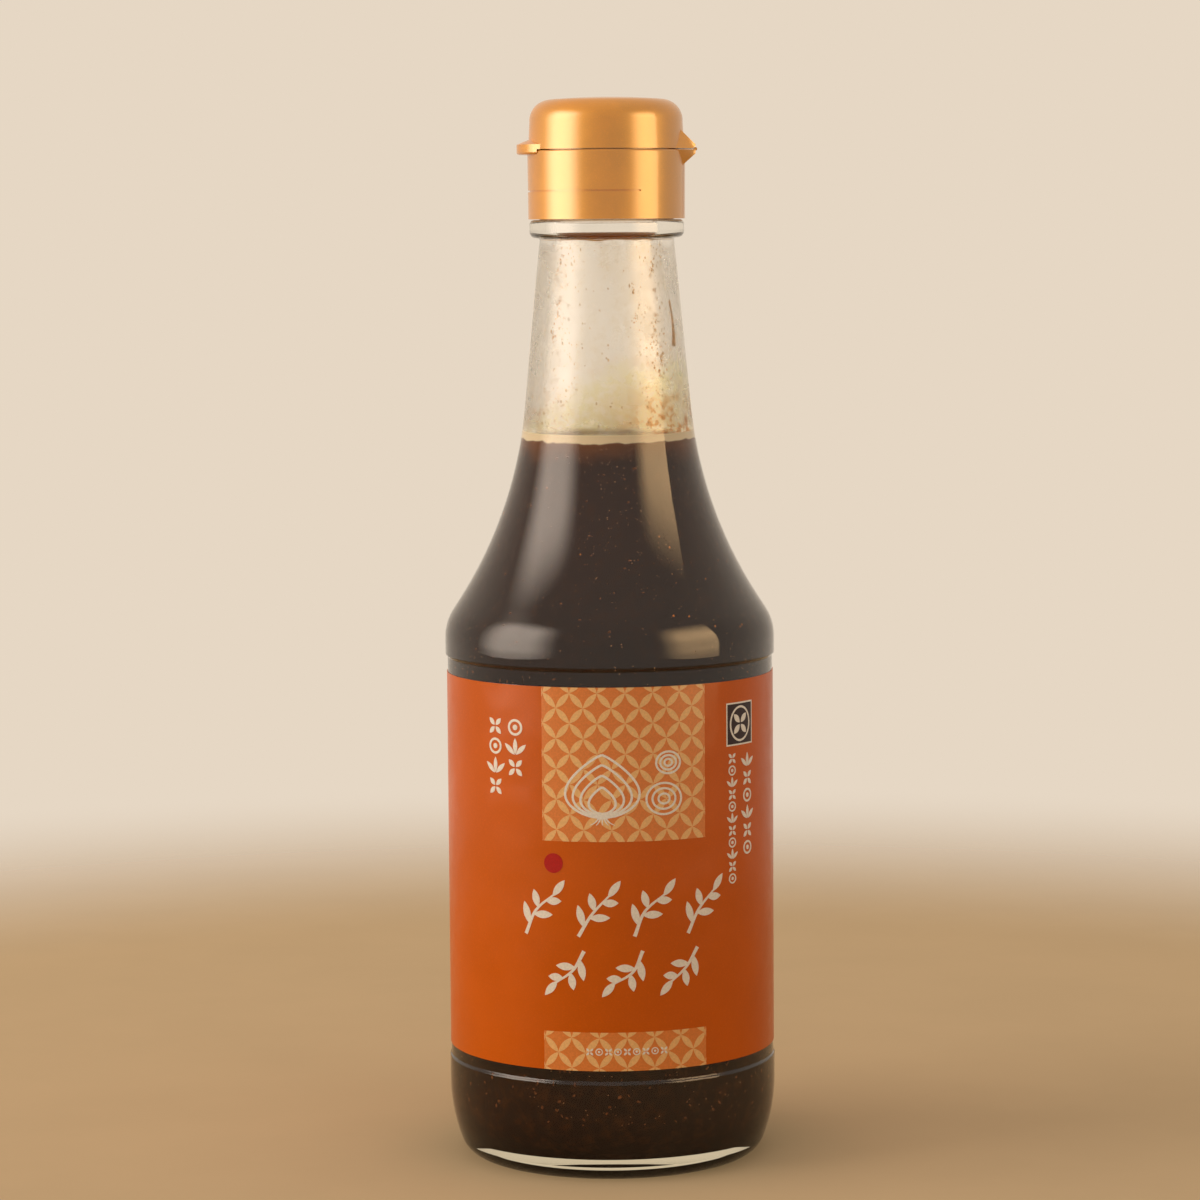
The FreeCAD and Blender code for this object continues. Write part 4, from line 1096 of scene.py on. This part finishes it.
class BOTTLE_OT_wrap_label(bpy.types.Operator):
    """Make the paper label with its patterned fields, line drawing and strokes"""

    bl_idname = "bottle.wrap_label"
    bl_label = "Label"

    def execute(self, context):
        l = context.scene.bottle_label
        self.add_paper(l)
        self.add_fields(l)
        self.add_drawing(l)
        self.add_marks(l)
        self.add_badge(l)
        return {"FINISHED"}

    def add_paper(self, l):
        """The sheet itself, open at the back."""
        outer, inner = LABEL_BOX[1].x, LABEL_BOX[1].x - l.thickness
        reach = math.pi - l.back_gap / outer / 2
        low, high = LABEL_BOX[0].z, LABEL_BOX[1].z
        columns = 260
        points = []
        for i in range(columns + 1):
            turn = reach * (2 * i / columns - 1)
            points += [(radius * math.sin(turn), -radius * math.cos(turn), height)
                       for radius in (outer, inner) for height in (low, high)]
        sheet = make_piece("label_sheet", points, band_faces(columns), [paper_material(l)],
                           crease=PAPER_CREASE)
        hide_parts("label")

    def add_fields(self, l):
        """The two patterned fields: linked circles whose overlaps make petals."""
        height = LABEL_BOX[1].z - LABEL_BOX[0].z
        half = l.field_width / 2
        field, petals = Print(l, 1), Print(l, 2)
        for low, high in ((l.field_foot, height), (0.0, l.strip_height)):
            field.field(-half, half, low, high)
            across, up = l.cell_width / 2, l.cell_height / 2
            columns = math.ceil(l.field_width / l.cell_width) + 1
            rows = math.ceil((high - low) / l.cell_height) + 1
            for row in range(-1, 2 * rows):
                for column in range(-columns, columns + 1):
                    if (row + column) % 2:
                        continue
                    node = (column * across, high - 1.1 * MM - row * up)
                    for side in (-1, 1):
                        tip = (node[0] + side * across, node[1] - up)
                        rim = cut_to(petal(node, tip, l.petal_width), -half, half, low, high)
                        petals.shape(rim)
        field.piece("pattern_fields", ink_material("field_ink", l.field))
        petals.piece("pattern_petals", ink_material("petal_ink", l.petal))

    def bulb_line(self, centre, size, shrink, side):
        """Half of a nested bulb outline, from its root up to its neck."""
        foot = centre[1] - size * (0.42 - 0.1 * (1 - shrink))
        line = []
        for part in np.linspace(0, 1, 31):
            bulge = math.sin(math.pi * part ** 0.72) ** 0.8 if 0 < part < 1 else 0.0
            line.append((centre[0] + side * size * 0.54 * shrink * bulge,
                         foot + size * shrink ** 0.85 * 0.92 * part))
        return line

    def add_drawing(self, l):
        """An onion cut in half, with two rings beside it, drawn in cream lines."""
        lines = self.lines = Print(l, 3)
        centre = (-4.6 * MM, l.field_foot + 10.4 * MM)
        size = 13.6 * MM
        for shrink in (1.0, 0.79, 0.58, 0.36):
            for side in (-1, 1):
                line = self.bulb_line(centre, size, shrink, side)
                lines.stroke(line, [0.46 * MM] * len(line))
        foot = centre[1] - size * 0.42
        for i in range(5):
            lean = (i - 2) * 0.34
            line = smooth_line([(centre[0] + lean * MM, foot),
                                (centre[0] + lean * 2.2 * MM, foot - 0.9 * MM),
                                (centre[0] + lean * 3.6 * MM, foot - 1.4 * MM)], 8)
            lines.stroke(line, [0.34 * MM * (1 - 0.7 * j / 8) for j in range(9)])
        for x, y, outer in ((12.3, -2.1, 3.6), (13.2, 5.0, 2.5)):
            for part in (1.0, 0.66, 0.32):
                self.add_circle(centre[0] + x * MM, centre[1] + y * MM, outer * part * MM, 0.42 * MM)

    def add_circle(self, x, y, radius, width, rise=0.86):
        """A drawn ring, a little lower than it is wide."""
        circle = [(x + radius * math.cos(t), y + radius * rise * math.sin(t))
                  for t in np.linspace(0, 2 * math.pi, 33)]
        self.lines.stroke(circle, [width] * 33)

    def add_sprig(self, foot, tip, bend, size):
        """A painted sprig: a bowed stem with leaves on both sides and one at its tip."""
        foot, tip = Vector(foot) * MM, Vector(tip) * MM
        heading = (tip - foot).normalized()
        side = Vector((-heading.y, heading.x))
        stem = smooth_line([tuple(foot), tuple(foot.lerp(tip, 0.5) + side * bend * MM), tuple(tip)], 24)
        self.lines.stroke(stem, [(0.75 - 0.4 * j / 24) * MM for j in range(25)])
        for i, share_up in enumerate((0.2, 0.42, 0.6, 0.8)):
            start = Vector(stem[round(24 * share_up)])
            lean = math.radians(-52 if i % 2 else 52)
            end = start + Matrix.Rotation(lean, 2) @ heading * size * (1.06 - 0.1 * i) * MM
            self.lines.shape(petal(start, end, 1.55 * MM))
        self.lines.shape(petal(tip - heading * 0.5 * MM, tip + heading * size * 0.85 * MM, 1.5 * MM))

    def add_mark(self, kind, x, y, size):
        """A small ornament: a four-petal flower, a ring with a dot, or a pair of leaves."""
        x, y, size = x * MM, y * MM, size * MM
        if kind == 1:
            self.add_circle(x, y, size * 0.4, size * 0.13, 0.95)
            self.lines.shape([(x + size * 0.15 * math.cos(t), y + size * 0.15 * math.sin(t))
                              for t in np.linspace(0, 2 * math.pi, 17)[:-1]])
            return
        leans = (45, 135, 225, 315) if kind == 0 else (42, 138, 90)
        start_y = y if kind == 0 else y - size * 0.42
        reach = size * (0.54 if kind == 0 else 0.86)
        for lean in leans:
            heading = Vector((math.cos(math.radians(lean)), math.sin(math.radians(lean))))
            start = Vector((x, start_y)) + heading * size * 0.06
            self.lines.shape(petal(start, start + heading * reach, size * 0.27))

    def add_marks(self, l):
        """Painted sprigs in two rows, a red dot and columns of small ornaments."""
        for i in range(4):
            x = -20.6 + 11.1 * i
            self.add_sprig((x, 26.8), (x + 6.2, 35.0), (1.1, 0.5, 1.3, 0.8)[i], 4.3)
        for i in range(3):
            x = -8.4 + 11.6 * i
            self.add_sprig((x, 23.9), (x - 5.8, 17.4), (0.9, 1.3, 0.6)[i], 4.1)
        columns = ((-27.9, 67.6, 4, 4.0, 3.6), (-22.8, 67.6, 3, 4.0, 3.7),
                   (28.9, 59.7, 6, 3.5, 3.1), (24.0, 60.5, 11, 2.4, 2.3))
        for order, (x, top, count, pitch, size) in enumerate(columns):
            for i in range(count):
                self.add_mark((i + order) % 3, x, top - i * pitch, size)
        for i in range(9):
            self.add_mark(i % 2, (i - 4) * 1.85, l.strip_height / MM * 0.5, 1.6)
        self.lines.piece("cream_print", ink_material("cream_ink", l.cream))
        dot = Print(l, 3)
        dot.shape([((-14.5 + 1.95 * math.cos(t)) * MM, (41.2 + 1.95 * math.sin(t)) * MM)
                   for t in np.linspace(0, 2 * math.pi, 41)[:-1]])
        dot.piece("red_dot", ink_material("red_ink", l.red))

    def add_badge(self, l):
        """A small dark badge: a light border and oval round a four-petal flower."""
        left, right, low, high = 22.4 * MM, 30.7 * MM, 63.0 * MM, 71.6 * MM
        border, ground = Print(l, 1), Print(l, 2)
        border.field(left, right, low, high)
        inset = 0.32 * MM
        ground.field(left + inset, right - inset, low + inset, high - inset)
        self.lines = Print(l, 3)
        x, y = (left + right) / 2, (low + high) / 2
        self.add_circle(x, y, 3.0 * MM, 0.42 * MM, 1.12)
        self.add_mark(0, x / MM, y / MM, 4.6)
        border.piece("badge_border", ink_material("border_ink", l.cream))
        ground.piece("badge_ground", ink_material("plum_ink", l.plum))
        self.lines.piece("badge_flower", ink_material("flower_ink", l.cream))


# ---- the cap ----

class BOTTLE_OT_gild_cap(bpy.types.Operator):
    """Give the press-on part and the flip-top lid their gold finish"""

    bl_idname = "bottle.gild_cap"
    bl_label = "Gold Cap"

    def execute(self, context):
        c = context.scene.bottle_cap
        finishes = {"collar": gold_material("gold_skirt", c, c.skirt_roughness, 0.8),
                    "lid": gold_material("gold_lid_skin", c, c.lid_roughness, 0.75)}
        for node, material in finishes.items():
            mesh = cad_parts[node].data
            mesh.materials.clear()
            mesh.materials.append(material)
        return {"FINISHED"}


# ---- the studio ----

def around(turn, distance, height):
    """A place round the bottle, by its turn from the front to the right."""
    return Vector((distance * math.sin(turn), -distance * math.cos(turn), height))


def add_lamp(name, turn, low, high, width, radiance, rgb, sides, top, foot, mirrored=True):
    """A soft upright panel that faces the bottle and fades towards its edges.

    radiance is how bright its face is.  sides are the turns, in degrees, where its left side
    starts and is full, and where its right side starts to fade and is dark.  top holds the
    heights where its top fades, and foot is the share of its brightness that it has low down.
    A mirrored panel shows in gloss alone, and any other lights matt surfaces alone.
    """
    lamp = bpy.data.lights.new(name, "AREA")
    lamp.shape = "RECTANGLE"
    lamp.size, lamp.size_y = width, high - low
    lamp.energy = radiance * math.pi * width * (high - low)
    lamp.color = rgb
    lamp.use_nodes = True
    tree = lamp.node_tree
    tree.nodes.clear()
    place = add_node(tree, "ShaderNodeNewGeometry").outputs["Position"]
    height = height_of(tree, place)
    turned_by = turn_from_front(tree, place)
    left_dark, left_full, right_full, right_dark = [math.radians(a) for a in sides]
    strength = multiplied(tree, ranged(tree, turned_by, left_dark, left_full),
                          ranged(tree, turned_by, right_dark, right_full),
                          ranged(tree, height, top[1], top[0]),
                          ranged(tree, height, 0.0, 0.06, 0.5, 1.0),
                          ranged(tree, height, 0.15, 0.4, foot, 1.0))
    glow = add_node(tree, "ShaderNodeEmission", {"Color": (1, 1, 1, 1), "Strength": strength})
    output = add_node(tree, "ShaderNodeOutputLight")
    tree.links.new(glow.outputs[0], output.inputs["Surface"])
    piece = bpy.data.objects.new(name, lamp)
    bpy.context.scene.collection.objects.link(piece)
    place = around(math.radians(turn), LAMP_DISTANCE, (low + high) / 2)
    piece.location = place
    inward = Vector((-place.x, -place.y, 0.0))
    piece.rotation_euler = inward.to_track_quat("-Z", "Y").to_euler()
    piece.visible_camera = False
    piece.visible_diffuse = not mirrored
    piece.visible_glossy = mirrored
    piece.visible_transmission = False
    return piece


class BOTTLE_OT_light_studio(bpy.types.Operator):
    """Make the floor and backdrop, the lamps, the world and the camera"""

    bl_idname = "bottle.light_studio"
    bl_label = "Studio"

    def execute(self, context):
        t = context.scene.bottle_studio
        self.add_stage(t)
        self.add_lamps()
        self.add_world(t)
        self.add_camera(context, t)
        context.scene.view_settings.view_transform = "Standard"
        return {"FINISHED"}

    def add_stage(self, t):
        """A round floor, wide enough to fade away before its rim."""
        points, faces = [(0.0, 0.0, 0.0)], []
        rim = 96
        for i in range(rim):
            points.append(tuple(around(2 * math.pi * i / rim, t.floor_reach * 1.1, 0.0)))
            faces.append([0, 1 + i, 1 + (i + 1) % rim])
        mesh = bpy.data.meshes.new("studio_floor")
        mesh.from_pydata(points, [], faces)
        mesh.materials.append(floor_material(t))
        floor = bpy.data.objects.new("studio_floor", mesh)
        bpy.context.scene.collection.objects.link(floor)

    def add_lamps(self):
        """A window at the left and a warm card at the right, for gloss and for matt surfaces."""
        add_lamp("window", -68, 0.0, 0.95, 1.0, 5.6, (1.0, 0.84, 0.7),
                 sides=(-106, -78, -60, -34), top=(0.5, 0.92), foot=0.9)
        add_lamp("warm_card", 58, 0.0, 0.8, 0.64, 6.5, (1.0, 0.64, 0.31),
                 sides=(32, 54, 79, 81), top=(0.35, 0.78), foot=0.65)
        add_lamp("window_light", -78, 0.0, 0.8, 0.6, 2.4, (1.0, 0.95, 0.88),
                 sides=(-120, -110, -50, -40), top=(0.7, 0.8), foot=1.0, mirrored=False)
        top = add_lamp("overhead", 0, 0.85, 1.75, 0.9, 1.6, (1.0, 0.95, 0.88),
                       sides=(-200, -190, 190, 200), top=(2.0, 2.1), foot=1.0, mirrored=False)
        top.location = (0.0, 0.0, 1.3)
        top.rotation_euler = (0.0, 0.0, 0.0)

    def add_world(self, t):
        """Even light for matt surfaces; the eye, gloss and clear glass see the backdrop's colour."""
        world = bpy.data.worlds.new("room")
        bpy.context.scene.world = world
        world.use_nodes = True
        tree = world.node_tree
        tree.nodes.clear()
        even = add_node(tree, "ShaderNodeBackground", {"Color": EVEN_LIGHT, "Strength": t.ambient})
        seen = add_node(tree, "ShaderNodeBackground", {"Color": rgba(t.wall_colour), "Strength": 1.0})
        path = add_node(tree, "ShaderNodeLightPath").outputs
        sight = maths(tree, "MAXIMUM", path["Is Camera Ray"], path["Is Transmission Ray"])
        sight = maths(tree, "MAXIMUM", sight, path["Is Glossy Ray"])
        mix = add_node(tree, "ShaderNodeMixShader", {0: sight, 1: even.outputs[0], 2: seen.outputs[0]})
        output = add_node(tree, "ShaderNodeOutputWorld")
        tree.links.new(mix.outputs[0], output.inputs["Surface"])

    def add_camera(self, context, t):
        """The camera, level with the cap and looking slightly down."""
        lens = bpy.data.cameras.new("camera")
        lens.sensor_fit = "HORIZONTAL"
        lens.sensor_width = 36.0
        lens.lens = t.lens
        lens.clip_start = 0.01
        camera = bpy.data.objects.new("camera", lens)
        context.scene.collection.objects.link(camera)
        aim = Matrix.Rotation(math.pi / 2 - t.camera_tilt, 4, "X")
        roll = Matrix.Rotation(-t.camera_roll, 4, "Z")
        place = Matrix.Translation((-t.camera_aside, -t.camera_distance, t.camera_height))
        camera.matrix_world = place @ aim @ roll
        context.scene.camera = camera


# ---- the add-on ----

OPERATORS = [
    BOTTLE_OT_blow_glass,
    BOTTLE_OT_pour_sauce,
    BOTTLE_OT_smear_film,
    BOTTLE_OT_wrap_label,
    BOTTLE_OT_gild_cap,
    BOTTLE_OT_light_studio,
]


class BOTTLE_PT_sidebar(bpy.types.Panel):
    """Lists the pieces of the bottle"""

    bl_label = "Sauce Bottle"
    bl_idname = "BOTTLE_PT_sidebar"
    bl_space_type = "VIEW_3D"
    bl_region_type = "UI"
    bl_category = "Sauce Bottle"

    def draw(self, context):
        for operator in OPERATORS:
            self.layout.operator(operator.bl_idname)
        for name, settings in SETTINGS.items():
            box = self.layout.box()
            box.label(text=name)
            for key in settings.__annotations__:
                box.prop(getattr(context.scene, name), key)


def register():
    for settings in SETTINGS.values():
        bpy.utils.register_class(settings)
    for name, settings in SETTINGS.items():
        setattr(bpy.types.Scene, name, PointerProperty(type=settings))
    for operator in OPERATORS:
        bpy.utils.register_class(operator)
    bpy.utils.register_class(BOTTLE_PT_sidebar)


def unregister():
    bpy.utils.unregister_class(BOTTLE_PT_sidebar)
    for operator in reversed(OPERATORS):
        bpy.utils.unregister_class(operator)
    for name in SETTINGS:
        delattr(bpy.types.Scene, name)
    for settings in reversed(SETTINGS.values()):
        bpy.utils.unregister_class(settings)


def main():
    register()
    bpy.ops.bottle.blow_glass()
    bpy.ops.bottle.pour_sauce()
    bpy.ops.bottle.smear_film()
    bpy.ops.bottle.wrap_label()
    bpy.ops.bottle.gild_cap()
    bpy.ops.bottle.light_studio()


if __name__ == "__main__":
    main()
